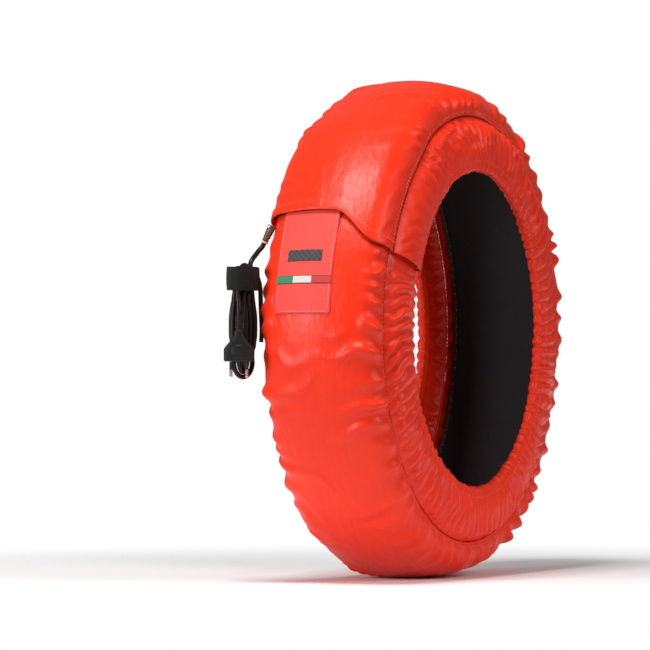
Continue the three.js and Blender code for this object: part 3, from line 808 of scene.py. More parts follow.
def rounded_profile(
    profile: Sequence[tuple[float, float]], rounding: float, steps: int = 4,
) -> list[tuple[float, float]]:
    """The profile with each inner corner cut by a short curve: a quadratic through the corner's two cuts."""
    points = np.array(profile, float)
    made = [tuple(points[0])]
    for before, corner, after in zip(points, points[1:], points[2:]):
        back, on = before - corner, after - corner
        cut = min(rounding, np.linalg.norm(back) / 2.2, np.linalg.norm(on) / 2.2)
        start = corner + back / np.linalg.norm(back) * cut
        end = corner + on / np.linalg.norm(on) * cut
        for t in np.linspace(0.0, 1.0, steps):
            made.append(tuple((1 - t) ** 2 * start + 2 * t * (1 - t) * corner + t**2 * end))
    made.append(tuple(points[-1]))
    return made


@dataclass(frozen=True)
class Stitching:
    """Rows of small stitches: each one a short thread that dips into the cloth at its ends."""

    length: float = 3.4
    pitch: float = 5.2
    radius: float = 0.5

    def along(self, line: Array, normals: Array) -> tuple[Array, Array]:
        """Stitches along a line on a surface.

        Args:
            line: Close points of the line.
            normals: The surface's normals there.

        Returns:
            Points and faces of all the stitches: rings of five corners round a low arch,
            height = radius * (0.5 + 0.9 sin(pi t)) over the stitch's share t.
        """
        lengths = np.concatenate([[0.0], np.cumsum(np.linalg.norm(np.diff(line, axis=0), axis=1))])
        count = max(1, int((lengths[-1] - self.length) / self.pitch))
        starts = (lengths[-1] - count * self.pitch) / 2 + self.pitch * np.arange(count)
        shares = np.array([0.0, 0.18, 0.5, 0.82, 1.0])
        girths = np.array([0.25, 0.85, 1.0, 0.85, 0.25])
        wanted = starts[:, None] + self.length * shares[None]
        pick = lambda values: np.stack([np.interp(wanted, lengths, values[:, k]) for k in range(3)], axis=-1)
        centre, normal = pick(line), pick(normals)
        normal /= np.linalg.norm(normal, axis=-1, keepdims=True)
        centre = centre + normal * (self.radius * (0.9 * np.sin(math.pi * shares) - 0.1))[None, :, None]
        ahead = centre[:, -1:] - centre[:, :1]
        ahead /= np.linalg.norm(ahead, axis=-1, keepdims=True)
        side = np.cross(ahead, normal)
        angle = np.linspace(0, 2 * math.pi, 5, endpoint=False)
        wide = np.cos(angle)[None, None, :, None] * side[:, :, None]
        high = np.sin(angle)[None, None, :, None] * normal[:, :, None]
        points = centre[:, :, None] + self.radius * girths[None, :, None, None] * (wide + high)
        base = grid_faces(5, 5, round_columns=True)
        faces = (base[None] + 25 * np.arange(count)[:, None, None]).reshape(-1, 4)
        return points.reshape(-1, 3), faces

    def piece(
        self, name: str, lines: Sequence[tuple[Array, Array]], finish: Finish, slot: Slot,
    ) -> bpy.types.Object:
        """One piece with the stitches of several lines."""
        points, faces, first = [], [], 0
        for line, normals in lines:
            some, corners = self.along(line, normals)
            points.append(some)
            faces.append(corners + first)
            first += len(some)
        return add_mesh(name, np.concatenate(points), np.concatenate(faces), finish, slot)


# Shape of the cover


@dataclass(frozen=True)
class CoverShape:
    """The cover's measures and its section, the same as the CAD model's."""

    crown_top: float = 310.2
    fabric: float = 1.2
    gap: float = 0.3
    felt: float = 4.7
    heater: float = 2.0
    lining: float = 1.0
    crown_radius: float = 160.0
    crown_slope: float = 20.0
    shoulder_radius: float = 30.0
    seam_slope: float = 105.0
    padding_slope: float = 76.0
    hem_radius: float = 203.0
    hem_half_width: float = 84.5
    side_bulge: float = 11.0
    tucked_end: float = 46.0
    flap_edge: float = 27.0
    strip_turn: float = 379.0
    padding_turn: float = 356.0
    flap_lift_height: float = 6.2
    flap_drop_near: float = 6.5
    tuck_depth: float = 5.0
    tuck_ramp: float = 35.0
    fold_height: float = 4.2
    fold_skew: float = 0.55
    stations: int = 104

    def place(self, width: Array, radius: Array, turn: Array) -> Array:
        """Points from a width, a radius and a turn: (-r cos a, width, r sin a) at the angle a = 46 - turn."""
        width, radius, turn = np.broadcast_arrays(width, radius, turn)
        angle = np.radians(self.tucked_end - turn)
        return np.stack([-radius * np.cos(angle), width, radius * np.sin(angle)], axis=-1)

    def flap_lift(self, turn: Array) -> Array:
        """How far the flap end rises to pass over the tucked end."""
        return self.flap_lift_height * smoothstep(338.0, 358.0, turn)

    def side_tuck(self, turn: Array) -> Array:
        """How far the sides of the tucked end sit inside the flap's sides."""
        return self.tuck_depth * (1.0 - smoothstep(self.tuck_ramp / 4, self.tuck_ramp, turn))

    def edge_drop(self, turn: Array, width: Array) -> Array:
        """How many degrees lower the flap's edge hangs on the near side."""
        near = smoothstep(20.0, self.hem_half_width - 10.0, -width)
        return self.flap_drop_near * near * smoothstep(self.strip_turn - 30, self.strip_turn, turn)

    def slack(self, turn: Array) -> Array:
        """Share of the folds' height: both ends of the strip lie smooth."""
        return smoothstep(20.0, 34.0, turn) * (1.0 - 0.8 * smoothstep(345.0, 359.0, turn))

    def swell(self, turn: Array, seed: float) -> Array:
        """Slow uneven swell: 0.7 + 0.17 sin(5t + seed) + 0.13 sin(13t + 2.3 seed)."""
        t = np.radians(turn)
        return 0.7 + 0.17 * np.sin(5 * t + seed) + 0.13 * np.sin(13 * t + 2.3 * seed)

    def section(self, slope: Array, depth: Array | float) -> tuple[Array, Array]:
        """Width and radius of the tread: a crown arc of 160 mm to 20 degrees, then arcs of 30 mm.

        Args:
            slope: Slope from the crown, negative on the near side.
            depth: Depth below the outer face.

        Returns:
            The width and the radius from the axle.
        """
        angle = np.radians(np.abs(slope))
        crown = np.minimum(angle, math.radians(self.crown_slope))
        inside = angle > math.radians(self.crown_slope)
        arc = np.where(inside, self.shoulder_radius, self.crown_radius)
        shift = np.where(inside, self.crown_radius - self.shoulder_radius, 0.0)
        width = shift * np.sin(crown) + (arc - depth) * np.sin(angle)
        drop = shift * np.cos(crown) + (arc - depth) * np.cos(angle)
        return np.sign(slope) * width, self.crown_top - self.crown_radius + drop

    def slope_at(self, arc: Array) -> Array:
        """Slope at a distance along the section from the crown."""
        flat = math.radians(self.crown_slope) * self.crown_radius
        beyond = np.maximum(np.abs(arc) - flat, 0.0) / self.shoulder_radius
        within = np.minimum(np.abs(arc), flat) / self.crown_radius
        return np.sign(arc) * np.degrees(within + beyond)

    def arc_at(self, slope: Array) -> Array:
        """Distance along the section from the crown to a slope."""
        angle = np.abs(slope)
        within = np.radians(np.minimum(angle, self.crown_slope)) * self.crown_radius
        beyond = np.radians(np.maximum(angle - self.crown_slope, 0.0)) * self.shoulder_radius
        return np.sign(slope) * (within + beyond)

    def long_fold(self, slope: Array, turn: Array) -> Array:
        """The CAD model's broad folds that fan out of the shoulder seam."""
        steep, side = np.abs(slope), np.sign(slope)
        reach = smoothstep(self.crown_slope + 2, 62.0, steep) * (1 - smoothstep(86.0, self.seam_slope, steep))
        period = 4 * self.strip_turn / self.stations
        ridge = 0.5 + 0.5 * np.sin(np.radians(turn / period * 360 + side * 40 + self.fold_skew * steep))
        return self.fold_height * reach * ridge * self.swell(turn, 1.7 + side) * self.slack(turn)


COVER = CoverShape()


class ClothRelax:
    """Lets a grid of cloth settle: a cloth simulation whose result is taken back as points."""

    frames: int = 18
    step: int = 2
    steps_per_frame: int = 5
    stretch: float = 12.0
    shear: float = 4.0
    mass: float = 0.12

    def __init__(self, pressure: float, bending: float, cap: float) -> None:
        """Sets the cloth.

        Args:
            pressure: Outward pressure.
            bending: Stiffness against bending.
            cap: Farthest that a point may move, in millimetres.
        """
        self.pressure = pressure
        self.bending = bending
        self.cap = cap

    def settle(self, points: Array, flat: Array, held: Array) -> Array:
        """Runs the simulation.

        Args:
            points: The grid at the start, in millimetres.
            flat: The same grid as the cloth was cut, which gives its lengths at rest.
            held: How firmly each point is held, from 0 to 1.

        Returns:
            The grid when it has settled, no point further than the cap from its start.
        """
        every = [np.unique(np.append(np.arange(0, count, self.step), count - 1)) for count in points.shape[:2]]
        pick = np.ix_(*every)
        start, rows, columns = points[pick], len(every[0]), len(every[1])
        mesh = bpy.data.meshes.new("settling")
        faces = grid_faces(rows, columns)
        mesh.from_pydata((start.reshape(-1, 3) * MM).tolist(), [], faces.tolist())
        cloth = bpy.data.objects.new("settling", mesh)
        bpy.context.scene.collection.objects.link(cloth)
        cloth.shape_key_add(name="start")
        cut = cloth.shape_key_add(name="cut")
        cut.data.foreach_set("co", np.ascontiguousarray(flat[pick].reshape(-1, 3) * MM, np.float32).ravel())
        group = cloth.vertex_groups.new(name="held")
        weights = np.round(held[pick].ravel() * 20) / 20
        for weight in np.unique(weights):
            if weight > 0:
                group.add(np.flatnonzero(weights == weight).tolist(), float(weight), "REPLACE")
        modifier = cloth.modifiers.new("settle", "CLOTH")
        settings = modifier.settings
        settings.quality = self.steps_per_frame
        settings.mass = self.mass
        settings.air_damping = 2.0
        settings.tension_stiffness = settings.compression_stiffness = self.stretch
        settings.shear_stiffness = self.shear
        settings.bending_stiffness = self.bending
        settings.vertex_group_mass = "held"
        settings.pin_stiffness = 1.0
        settings.rest_shape_key = cut
        settings.use_pressure = True
        settings.uniform_pressure_force = self.pressure
        settings.effector_weights.gravity = 0.0
        modifier.collision_settings.use_collision = False
        scene = bpy.context.scene
        modifier.point_cache.frame_start, modifier.point_cache.frame_end = 1, self.frames
        for number in range(1, self.frames + 1):
            scene.frame_set(number)
        seen = cloth.evaluated_get(bpy.context.evaluated_depsgraph_get())
        settled = np.empty(rows * columns * 3, np.float32)
        seen.data.vertices.foreach_get("co", settled)
        settled = settled.reshape(start.shape).astype(float) / MM
        bpy.data.objects.remove(cloth)
        scene.frame_set(1)
        moved = self.spread(settled - start, every, points.shape[:2])
        far = np.linalg.norm(moved, axis=-1, keepdims=True)
        return points + moved * np.minimum(1.0, self.cap / np.maximum(far, 1e-9))

    def spread(self, moved: Array, every: Sequence[Array], shape: Sequence[int]) -> Array:
        """The moves of some rows and columns, spread linearly over all of them and evened once."""
        row, column = (np.interp(np.arange(count), kept, np.arange(len(kept))) for kept, count in zip(every, shape))
        i, j = (np.minimum(place.astype(int), len(kept) - 2) for place, kept in zip((row, column), every))
        s, t = (row - i)[:, None, None], (column - j)[None, :, None]
        rows = moved[i] * (1 - s) + moved[i + 1] * s
        full = rows[:, j] * (1 - t) + rows[:, j + 1] * t
        even = full.copy()
        even[1:-1] = (full[:-2] + 2 * full[1:-1] + full[2:]) / 4
        return even


@dataclass
class TreadPanel:
    """The outer cloth over the tyre's crown, whose last part is the closing flap."""

    rows: int = 640
    columns: int = 72
    crease_spacing: float = 30.0
    crease_height: float = 10.0
    pucker_spacing: float = 8.5
    pucker_height: float = 0.55
    crease_reach: float = 52.0
    crease_reach_spread: float = 34.0
    crease_rise: float = 22.0
    cloth_length: float = 1.03
    hem_width: float = 14.0
    surface: GridSurface = field(init=False)

    def relief(self, slope: Array, turn: Array) -> Array:
        """Height of the creases over the smooth tread.

        A crease is (0.5 + 0.5 cos p) ^ 1.7 along the strip, with its phase p bent by noise. It fades
        as exp(-(e / reach)^2) with the distance e from the shoulder seam, and starts from nothing there.
        Puckers are short waves beside the seam.
        """
        side = np.sign(slope)
        along = turn * math.radians(1) * COVER.crown_top
        from_seam = COVER.arc_at(COVER.seam_slope) - np.abs(COVER.arc_at(slope))
        bend, length, strength = SoftNoise(3), SoftNoise(7), SoftNoise(11)
        phase = along / self.crease_spacing + 0.65 * bend.at(along / 55 + 90 * side, from_seam / 38)
        phase = phase + 0.015 * from_seam * np.sin(np.radians(1.6 * turn + 60.0))
        ridge = (0.5 + 0.5 * np.cos(2 * math.pi * phase)) ** 1.7
        reach = self.crease_reach + self.crease_reach_spread * length.at(along / 34 + 31, side * 2.3)
        fade = np.exp(-((from_seam / reach) ** 2)) * smoothstep(0.0, self.crease_rise, from_seam)
        strong = 0.62 + 0.5 * strength.at(along / 38, side * 5.1 + from_seam / 60)
        creases = self.crease_height * ridge * fade * np.clip(strong, 0.1, 1.2)
        short = np.cos(2 * math.pi * (along / self.pucker_spacing + 0.8 * bend.at(along / 14, side)))
        puckers = self.pucker_height * short * np.exp(-(((from_seam - 5.0) / 7.0) ** 2)) * smoothstep(0.0, 3.0, from_seam)
        broad = 0.9 * strength.at(along / 120, COVER.arc_at(slope) / 70 + 9)
        beside_tab = 1.0 - (1 - smoothstep(44.0, 52.0, turn)) * (1 - smoothstep(20.0, 34.0, np.abs(slope + 2)))
        return ((creases + puckers) * COVER.slack(turn) + broad * smoothstep(20.0, 40.0, turn)) * beside_tab

    def hem(self, turn: Array) -> Array:
        """Extra height of the turned hems at both ends, with a groove along their stitches."""
        per_degree = math.radians(1) * COVER.crown_top
        height = 0.0
        for distance in ((COVER.strip_turn - turn) * per_degree, turn * per_degree):
            band = 1.0 - smoothstep(self.hem_width - 1.5, self.hem_width + 1.5, distance)
            groove = np.exp(-(((distance - self.hem_width + 2.5) / 1.4) ** 2))
            height = height + 0.9 * band - 0.5 * groove
        return height

    def build(self) -> bpy.types.Object:
        """Builds the panel and settles it as cloth."""
        half = float(COVER.arc_at(COVER.seam_slope))
        arcs = np.linspace(-half, half, self.columns)
        turns = np.linspace(0.0, COVER.strip_turn, self.rows)
        turn, arc = np.meshgrid(turns, arcs, indexing="ij")
        slope = COVER.slope_at(arc)
        height = 0.8 * COVER.long_fold(slope, turn) + self.relief(slope, turn)
        near_seam = smoothstep(0.0, 6.0, half - np.abs(arc))
        height = height + COVER.flap_lift(turn) + self.hem(turn) * near_seam
        width, radius = COVER.section(slope, -height)
        points = COVER.place(width, radius, turn + COVER.edge_drop(turn, width))
        points = self.settle(points, turn, arc, slope)
        self.surface = GridSurface(turns, arcs, points)
        middle = points.mean(axis=(0, 1))
        normals = self.surface.normals()
        outward = np.sum((points - middle) * normals * [1, 0, 1])
        self.surface.outward = 1.0 if outward > 0 else -1.0
        inner = points - COVER.fabric * self.surface.normals()
        uv = np.stack([arc, turn * math.radians(1) * COVER.crown_top], axis=-1) * MM
        panel = add_shell("tread_cloth", points, inner, SHELL_CLOTH, Slot.SHELL, uv)
        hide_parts("tread_panel")
        return panel

    def settle(self, points: Array, turn: Array, arc: Array, slope: Array) -> Array:
        """Lets the panel settle between its seams, its ends and the tab's place held."""
        flat = np.stack([arc, turn * math.radians(1) * COVER.crown_top * self.cloth_length, 0 * arc], axis=-1)
        half = float(np.max(arc))
        seam = 1.0 - smoothstep(0.0, 5.0, half - np.abs(arc))
        ends = 1.0 - smoothstep(40.0, 54.0, turn) * (1.0 - smoothstep(338.0, 350.0, turn))
        held = np.clip(np.maximum(seam, ends), 0.0, 1.0)
        return ClothRelax(pressure=0.8, bending=6.0, cap=2.5).settle(points, flat, held)

    def seam_lines(self) -> list[tuple[Array, Array]]:
        """Lines beside each shoulder seam, where the two rows of stitches run."""
        turns = np.linspace(1.0, COVER.strip_turn - 1.0, 2400)
        half = float(self.surface.columns[-1])
        return [self.surface.at(turns, side * (half - inset)) for side in (-1, 1) for inset in (2.6, 6.4)]

    def hem_lines(self) -> list[tuple[Array, Array]]:
        """Lines across both ends, where their hems are stitched."""
        half = float(self.surface.columns[-1])
        across = np.linspace(-half + 2.0, half - 2.0, 500)
        inset = (self.hem_width - 2.5) / (math.radians(1) * COVER.crown_top)
        return [self.surface.at(turn, across) for turn in (COVER.strip_turn - inset, inset)]

    def stitch(self) -> bpy.types.Object:
        """All of the panel's stitches."""
        lines = self.seam_lines() + self.hem_lines()
        return Stitching().piece("tread_stitches", lines, SEAM_THREAD, Slot.SHELL)


@dataclass
class SidePanel:
    """A gathered side panel from the shoulder seam to its elastic hem."""

    name: str
    side: int
    seed: int
    rows: int = 900
    over_side: int = 30
    over_hem: int = 18
    hem_roll: float = 4.5
    hem_return: float = 9.0
    gathers: float = 100.0
    scallops_per_gather: float = 1.5
    gather_height: float = 6.6
    billow_height: float = 1.4
    crumple_height: float = 1.3
    seam_radius: float = 264.2
    cloth_length: float = 1.06
    surface: GridSurface = field(init=False)

    def section(self) -> tuple[Array, Array, Array, Array]:
        """The section as widths, radii, its share of the way to the hem, and its unit normals.

        From the seam a quadratic curve runs to the hem's edge, and the hem rolls in over the
        elastic as a half circle and runs back up inside.
        """
        width, radius = COVER.section(np.array(COVER.seam_slope), 0.0)
        start = np.array([float(width), float(radius) - 0.36])
        end = np.array([COVER.hem_half_width, COVER.hem_radius])
        control = np.array([
            (start[0] + end[0]) / 2 + COVER.side_bulge,
            (start[1] + 2 * end[1]) / 3 + COVER.side_bulge + 5.6,
        ])
        t = np.linspace(0.0, 1.0, self.over_side)[:, None]
        curve = (1 - t) ** 2 * start + 2 * t * (1 - t) * control + t**2 * end
        angle = np.linspace(0.0, math.pi, self.over_hem - 5)[1:]
        middle = end + [-self.hem_roll, 0.4]
        roll = middle + self.hem_roll * np.stack([np.cos(angle), -np.sin(angle)], axis=1)
        back = roll[-1] + np.stack([np.zeros(6), np.linspace(0, self.hem_return, 7)[1:]], axis=1)
        points = np.vstack([curve, roll, back])
        share = np.concatenate([t[:, 0], 1 + np.linspace(0, 1, len(points) - self.over_side + 1)[1:]])
        along = np.gradient(points, axis=0)
        along /= np.linalg.norm(along, axis=1, keepdims=True)
        return points[:, 0], points[:, 1], share, np.stack([-along[:, 1], along[:, 0]], axis=1)

    def gather(self, turn: Array, share: Array) -> Array:
        """How far the gathers push the cloth out.

        Narrow gathers are |sin p| ^ 0.8, round on top and creased between, with a phase bent by
        noise so that they wander and merge. They ride on broader billows. All of them start at the
        seam and are drawn in again at the hem, where short scallops stay.
        """
        body = np.minimum(share, 1.0)
        bend, strong, cross = SoftNoise(self.seed), SoftNoise(self.seed + 1), SoftNoise(self.seed + 2)
        around = turn / COVER.strip_turn * self.gathers
        wander = 0.6 * bend.at(around / 3.4, body * 1.5) + 0.2 * cross.at(around / 1.6, body * 3.0)
        narrow = np.abs(np.sin(math.pi * (around + wander + 0.5 * body))) ** 0.8
        billow = 0.5 + 0.5 * strong.at(around / 3.6, body * 1.6)
        crumple = cross.at(around * 1.1, body * 7.0)
        rise = smoothstep(0.0, 0.2, body)
        draw = 1.0 - 0.45 * smoothstep(0.72, 1.0, body)
        height = self.gather_height * narrow * (0.4 + 0.8 * billow)
        height = rise * draw * (height + self.billow_height * billow + self.crumple_height * crumple)
        inside_hem = 1.0 - smoothstep(1.35, 1.7, share)
        return np.maximum(height, 0.0) * inside_hem * np.maximum(COVER.slack(turn), 0.16)

    def build(self) -> bpy.types.Object:
        """Builds the panel and settles it as cloth."""
        widths, radii, shares, normals = self.section()
        turns = np.linspace(0.0, COVER.strip_turn, self.rows)
        turn, share = np.meshgrid(turns, shares, indexing="ij")
        push = self.gather(turn, share)
        scallop = 1.1 * np.sin(math.pi * turn / COVER.strip_turn * self.gathers * self.scallops_per_gather) ** 2
        scallop = scallop * smoothstep(0.9, 1.0, share) * (1 - smoothstep(1.5, 1.9, share))
        scallop = scallop * np.maximum(COVER.slack(turn), 0.25)
        from_seam = smoothstep(0.0, 0.5, share)
        lift = COVER.flap_lift(turn)
        across = lift * ((1 - from_seam) * math.sin(math.radians(COVER.seam_slope)) + from_seam)
        inward = lift * (1 - from_seam) * math.cos(math.radians(COVER.seam_slope))
        out = widths[None] + normals[None, :, 0] * push + across - COVER.side_tuck(turn) * from_seam
        width = self.side * out
        radius = radii[None] + normals[None, :, 1] * push - scallop + inward
        points = COVER.place(width, radius, turn + COVER.edge_drop(turn, width))
        steps = np.hypot(np.diff(widths), np.diff(radii))
        depth = np.concatenate([[0.0], np.cumsum(steps)])
        points = self.settle(points, turn, share, depth)
        self.surface = GridSurface(turns, depth, points)
        normals_now = self.surface.normals()
        if np.sum(normals_now[:, : self.over_side, 1]) * self.side < 0:
            self.surface.outward = -1.0
        inner = points - 0.8 * self.surface.normals()
        seam_radius = float(radii[0])
        uv = np.stack([turn * math.radians(1) * seam_radius, np.broadcast_to(depth, turn.shape)], axis=-1) * MM
        panel = add_shell(self.name, points, inner, SHELL_CLOTH, Slot.SHELL, uv)
        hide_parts("side_panel_left" if self.side < 0 else "side_panel_right")
        return panel

    def settle(self, points: Array, turn: Array, share: Array, depth: Array) -> Array:
        """Lets the gathers settle, with the seam, the hem and the smooth ends held."""
        length = turn * math.radians(1) * self.seam_radius * self.cloth_length
        flat = np.stack([np.broadcast_to(depth, turn.shape), length, 0 * turn], axis=-1)
        seam = 1.0 - smoothstep(0.0, 0.06, share)
        hem = smoothstep(0.96, 1.0, share)
        ends = 1.0 - smoothstep(22.0, 34.0, turn) * (1.0 - smoothstep(342.0, 352.0, turn))
        held = np.clip(np.maximum(np.maximum(seam, hem), ends), 0.0, 1.0)
        return ClothRelax(pressure=0.6, bending=2.0, cap=2.2).settle(points, flat, held)

    def stitch_line(self) -> tuple[Array, Array]:
        """The line of the hem's stitches, beside its edge."""
        turns = np.linspace(1.0, COVER.strip_turn - 1.0, 2400)
        depth = self.surface.columns[self.over_side - 1] - 7.0
        return self.surface.at(turns, depth)


@dataclass
class Padding:
    """The layers under the tread panel: felt, heating blanket and quilted lining."""

    rows: int = 420
    columns: int = 56
    quilt_pitch: float = 46.0

    def grid(self, rows: int, columns: int) -> tuple[Array, Array]:
        """Turns and arc distances of a layer."""
        half = float(COVER.arc_at(COVER.padding_slope))
        turns, arcs = np.linspace(0.0, COVER.padding_turn, rows), np.linspace(-half, half, columns)
        return tuple(np.meshgrid(turns, arcs, indexing="ij"))

    def layer(
        self, name: str, node: str, depth: float, thickness: float, finish: Finish, slot: Slot,
        rows: int, columns: int, inner_height: Callable[[Array, Array], Array] | None = None,
    ) -> tuple[bpy.types.Object, Array, Array, Array]:
        """One layer between two depths.

        Args:
            name: The piece's name.
            node: The CAD node that it replaces.
            depth: Depth of its outer face below the cloth's.
            thickness: Its thickness.
            finish: Its finish.
            slot: The record's slot.
            rows: Rows of its grid.
            columns: Columns of its grid.
            inner_height: Extra height of its inner face towards the tyre, of turn and arc.

        Returns:
            The piece, and its inner face with its turns and arcs.
        """
        turn, arc = self.grid(rows, columns)
        slope = COVER.slope_at(arc)
        rim = np.minimum(
            COVER.arc_at(COVER.padding_slope) - np.abs(arc),
            np.minimum(turn, COVER.padding_turn - turn) * math.radians(1) * COVER.crown_top,
        )
        rounding = 0.35 * thickness * (1.0 - smoothstep(0.0, 3.0, rim))
        extra = 0.0 if inner_height is None else inner_height(turn, arc)
        outer = COVER.place(*COVER.section(slope, depth + rounding), turn)
        inner = COVER.place(*COVER.section(slope, depth + thickness - rounding + extra), turn)
        uv = np.stack([arc, turn * math.radians(1) * COVER.crown_top], axis=-1) * MM
        piece = add_shell(name, outer, inner, finish, slot, uv)
        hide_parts(node)
        return piece, inner, turn, arc

    def quilting(self, turn: Array, arc: Array) -> Array:
        """Pillows of the lining between its crossed seams: 0.5 |sin a sin b| ^ 0.5 along both diagonals."""
        along = turn * math.radians(1) * COVER.crown_top
        first = np.sin(math.pi * (along + arc) / self.quilt_pitch)
        second = np.sin(math.pi * (along - arc) / self.quilt_pitch)
        inside = smoothstep(4.0, 12.0, COVER.arc_at(COVER.padding_slope) - np.abs(arc))
        return 0.38 * np.sqrt(np.abs(first * second)) * inside

    def build(self) -> None:
        """Builds the three layers."""
        felt_depth = COVER.fabric + COVER.gap
        heater_depth = felt_depth + COVER.felt + COVER.gap
        lining_depth = heater_depth + COVER.heater + COVER.gap
        felt = self.layer(
            "felt_pad", "insulation_felt", felt_depth, COVER.felt, FELT_CLOTH, Slot.FELT, 300, 40,
        )[0]
        blanket = self.layer(
            "heating_layer", "heating_blanket", heater_depth, COVER.heater, HeatingBlanket(),
            Slot.HEATER, 300, 40,
        )[0]
        lining, inner, turn, arc = self.layer(
            "quilted_lining", "inner_lining", lining_depth, COVER.lining, LINING_CLOTH, Slot.LINING,
            self.rows, self.columns, self.quilting,
        )
        surface = GridSurface(turn[:, 0], arc[0], inner)
        middle = inner.mean(axis=(0, 1))
        inwards = np.sum((inner - middle) * surface.normals() * [1, 0, 1]) < 0
        surface.outward = 1.0 if inwards else -1.0
        turns = np.linspace(1.0, COVER.padding_turn - 1.0, 2200)
        edge = float(arc.max())
        lines = [surface.at(turns, place) for place in (-edge + 5, edge - 5)]
        Stitching(3.4, 5.2, 0.34).piece("lining_stitches", lines, LINING_CLOTH, Slot.LINING)


@dataclass
class Closure:
    """What holds the flap shut: its facing, and the hook and the loop strip."""

    margin: float = 2.0
    strip: float = 1.4
    facing: float = 1.0
    facing_slope: float = 48.0

    def patch(
        self, name: str, node: str, slopes: tuple[float, float], turns: tuple[float, float],
        depth: float, thickness: float, finish: Finish, slot: Slot, pile: float,
    ) -> bpy.types.Object:
        """A strip on the flap or on the tucked end, with a rough pile.

        Args:
            name: The piece's name.
            node: The CAD node that it replaces.
            slopes: Its two long edges.
            turns: Its two ends.
            depth: Depth of its outer face below the cloth's.
            thickness: Its thickness.
            finish: Its finish.
            slot: The record's slot.
            pile: Height of its pile.

        Returns:
            The piece.
        """
        rows = max(24, int((turns[1] - turns[0]) * 5))
        turn, slope = np.meshgrid(
            np.linspace(*turns, rows), np.linspace(*slopes, int((slopes[1] - slopes[0]) * 2)), indexing="ij",
        )
        lift = COVER.long_fold(slope, turn) + COVER.flap_lift(turn)
        rough = pile * SoftNoise(41).at(turn * 9, slope * 4)
        drop = lambda width: turn + COVER.edge_drop(turn, width)
        faces = []
        for extra in (-rough, thickness + rough):
            width, radius = COVER.section(slope, depth + extra - lift)
            faces.append(COVER.place(width, radius, drop(width)))
        uv = np.stack([COVER.arc_at(slope), turn * math.radians(1) * COVER.crown_top], axis=-1) * MM
        piece = add_shell(name, faces[0], faces[1], finish, slot, uv)
        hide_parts(node)
        return piece

    def build(self) -> None:
        """Builds the facing and the two strips."""
        depth = COVER.fabric + COVER.gap
        station = COVER.strip_turn / COVER.stations
        start = math.ceil((360 - self.margin) / station) * station
        end = COVER.strip_turn - 360 - 2.4 - self.margin / 2
        crown = (-COVER.crown_slope, COVER.crown_slope)
        self.patch(
            "flap_lining", "flap_facing", (-self.facing_slope, self.facing_slope),
            (start, COVER.strip_turn - 0.15), depth, self.facing, LINING_CLOTH, Slot.LINING, 0.04,
        )
        self.patch(
            "hook_tape", "hook_strip", crown, (360 + self.margin, 360 + end),
            depth + self.facing + COVER.gap, self.strip, HOOK_TAPE, Slot.HOOK_LOOP, 0.12,
        )
        self.patch(
            "loop_tape", "loop_strip", crown, (self.margin, end),
            -COVER.gap - self.strip, self.strip, HOOK_TAPE, Slot.HOOK_LOOP, 0.12,
        )


